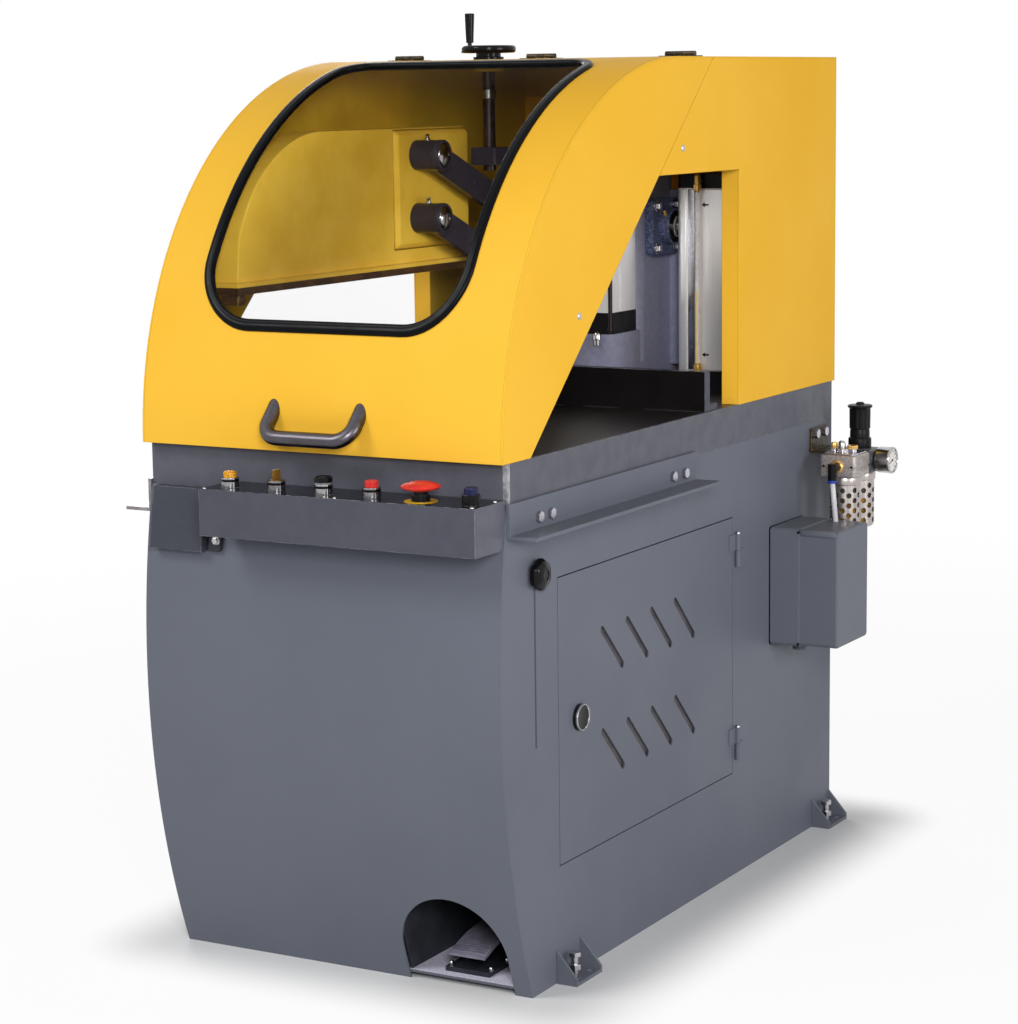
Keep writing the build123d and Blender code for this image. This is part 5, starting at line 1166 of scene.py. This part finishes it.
# The front panel's inner face, a circle through three points:
# y = middle - sqrt(radius ** 2 - (z - height) ** 2).
def panelFace(z):
    spots = np.array(footWell["panel"])
    system = np.column_stack([2.0 * spots, np.ones(3)])
    middle, height, rest = np.linalg.solve(system, (spots ** 2).sum(axis=1))
    return middle - np.sqrt(rest + middle ** 2 + height ** 2 - (z - height) ** 2)


# Walls behind the arch in a dark grey, painted shade inside the foot well: the left one's front edge follows
# the panel's face, and one stands at the back.
def wellWalls():
    look = footWell
    low, high = [np.array(corner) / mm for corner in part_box("floor_plate")]
    floor, top, x, back = high[2], look["top"], low[0] + look["inset"], high[1] - look["inset"]
    rise = np.linspace(floor, top, look["steps"])
    outline = [(x, y, z) for y, z in zip(panelFace(rise) + look["clear"], rise)]
    outline += [(x, back, top), (x, back, floor)]
    spans = [(x + look["inset"], high[0] - look["inset"]), (back - look["sheet"], back)]
    rows = [(floor, 0), (top, 0), (top + 1, 1)]
    return [slab(outline, (look["sheet"], 0, 0)), softBlock(spans, rows, look["corner"])]


def addFootSwitch():
    hinge = treadle["hinge"]
    roll = turned(treadle["roll"], hinge, rightward, 32)
    pin = turned(treadle["pin"], hinge, rightward, 20)
    makePiece("treadle", [treadPlate(), roll, pin], "foot_pedal", "treadGrey", "pedal_grey", ["foot_pedal"],
              smooth=45.0)
    turnPiece(footScrews, "switchScrews", footScrews["places"], upright, 24, "machine_base", "chrome",
              "zinc")
    makePiece("footWell", wellWalls(), "machine_base", "wellPaintedShade", "cabinet_grey")


addFootSwitch()
print("foot switch ready")


# Studio: a pale floor, broad soft lamps and an even sky

studio = {
    "floorHalf": 14.0, "floorColour": 0.82, "floorDark": 0.985, "nearWhite": 0.93, "fadeFrom": 1.2,
    "fadeTo": 4.0, "footprint": ((-0.345, 0.385), (-0.7, 0.56)), "contact": 0.2, "sky": 0.17,
    "lamps": {
        "keyLamp": {"from": (2.9, -4.5, 2.3), "to": (0.0, -0.1, 0.9), "size": 1.2, "power": 134.0},
        "frontLamp": {"from": (-2.4, -4.2, 4.6), "to": (0.0, -0.4, 1.2), "size": 2.0, "power": 130.0},
        "sideLamp": {"from": (5.4, -0.9, 1.8), "to": (0.0, -0.1, 0.8), "size": 2.0, "power": 96.0},
        "backLamp": {"from": (-4.2, 3.6, 2.2), "to": (0.0, 0.0, 0.8), "size": 2.4, "power": 100.0}}}


# Stands an object at a place with its three axes along side, rise and back.
def stand(holder, place, side, rise, back):
    matrix = np.eye(4)
    matrix[:3, :3] = np.stack([side, rise, back], axis=1)
    matrix[:3, 3] = place
    holder.matrix_world = Matrix(matrix.tolist())


def addLamps():
    for name, look in studio["lamps"].items():
        lamp = bpy.data.lights.new(name, "AREA")
        lamp.energy = look["power"]
        lamp.size = look["size"]
        back = np.array(look["from"]) - np.array(look["to"])
        back /= np.linalg.norm(back)
        side = np.cross(upright, back)
        side /= np.linalg.norm(side)
        stand(addObject(name, lamp), look["from"], side, np.cross(back, side), back)


# Rays that show the background: seen straight, in a reflection or through glass.
def backgroundRays(tree):
    rays = addNode(tree, "ShaderNodeLightPath").outputs
    share = sums(tree, "MAXIMUM", rays["Is Camera Ray"], rays["Is Glossy Ray"])
    return sums(tree, "MAXIMUM", share, rays["Is Transmission Ray"])


def addSky():
    world = bpy.data.worlds.new("studioSky")
    bpy.context.scene.world = world
    world.use_nodes = True
    tree = world.node_tree
    setShader(tree, tree.nodes["Background"], {
        "Color": (1.0, 1.0, 1.0, 1.0), "Strength": mixValue(tree, backgroundRays(tree), studio["sky"], 1.0)})


# Distance outside the machine's footprint: length of max(|place - middle| - half, 0) in the floor's plane.
def footprintDistance(tree, place):
    parts = addNode(tree, "ShaderNodeSeparateXYZ", {"Vector": place}).outputs
    squares = []
    for axis, (low, high) in enumerate(studio["footprint"]):
        offset = sums(tree, "ABSOLUTE", sums(tree, "SUBTRACT", parts[axis], (low + high) / 2))
        beyond = sums(tree, "MAXIMUM", sums(tree, "SUBTRACT", offset, (high - low) / 2), 0.0)
        squares.append(product(tree, beyond, beyond))
    return sums(tree, "SQRT", sums(tree, "ADD", *squares))


def floorMaterial():
    material, tree, shader, place = newMaterial("paleFloor")
    pale = studio["floorColour"]
    dark = pale * studio["floorDark"]
    grain = noise(tree, place, 3.0, 3.0)
    setShader(tree, shader, {
        "Base Color": mixColour(tree, grain, (pale, pale, pale, 1.0), (dark, dark, dark, 1.0)),
        "Roughness": 0.7, "Specular IOR Level": 0.1})
    away = footprintDistance(tree, place)
    reach = smoothStep(tree, away, studio["fadeFrom"], studio["fadeTo"])
    contact = smoothStep(tree, away, 0.0, studio["contact"])
    fade = product(tree, contact, mixValue(tree, reach, studio["nearWhite"], 1.0), backgroundRays(tree))
    white = addNode(tree, "ShaderNodeEmission")
    blend = addNode(tree, "ShaderNodeMixShader", {0: fade})
    tree.links.new(shader.outputs[0], blend.inputs[1])
    tree.links.new(white.outputs[0], blend.inputs[2])
    tree.links.new(blend.outputs[0], tree.nodes["Material Output"].inputs["Surface"])
    return material


def addFloor():
    half = studio["floorHalf"]
    mesh = bpy.data.meshes.new("floor")
    corners = [(-half, -half, 0), (half, -half, 0), (half, half, 0), (-half, half, 0)]
    mesh.from_pydata(corners, [], [(0, 1, 2, 3)])
    mesh.materials.append(floorMaterial())
    floor = addObject("floor", mesh)


addLamps()
addSky()
addFloor()
print("studio ready")


# Camera at the photograph's place

viewpoint = {"place": (2.4074, -4.4087, 1.4776), "azimuth": 29.414, "tilt": 8.976, "roll": -0.732,
             "lens": 95.18}


def addCamera():
    azimuth, tilt, roll = [math.radians(viewpoint[turn]) for turn in ("azimuth", "tilt", "roll")]
    flat = math.cos(tilt)
    ahead = np.array([-math.sin(azimuth) * flat, math.cos(azimuth) * flat, -math.sin(tilt)])
    level = np.array([math.cos(azimuth), math.sin(azimuth), 0.0])
    rise = np.cross(level, ahead)
    lens = bpy.data.cameras.new("photoCamera")
    lens.lens = viewpoint["lens"]
    holder = addObject("photoCamera", lens)
    stand(holder, viewpoint["place"], level * math.cos(roll) + rise * math.sin(roll),
          rise * math.cos(roll) - level * math.sin(roll), -ahead)
    bpy.context.scene.camera = holder


addCamera()
bpy.context.scene.view_settings.view_transform = "Standard"
print("camera ready")
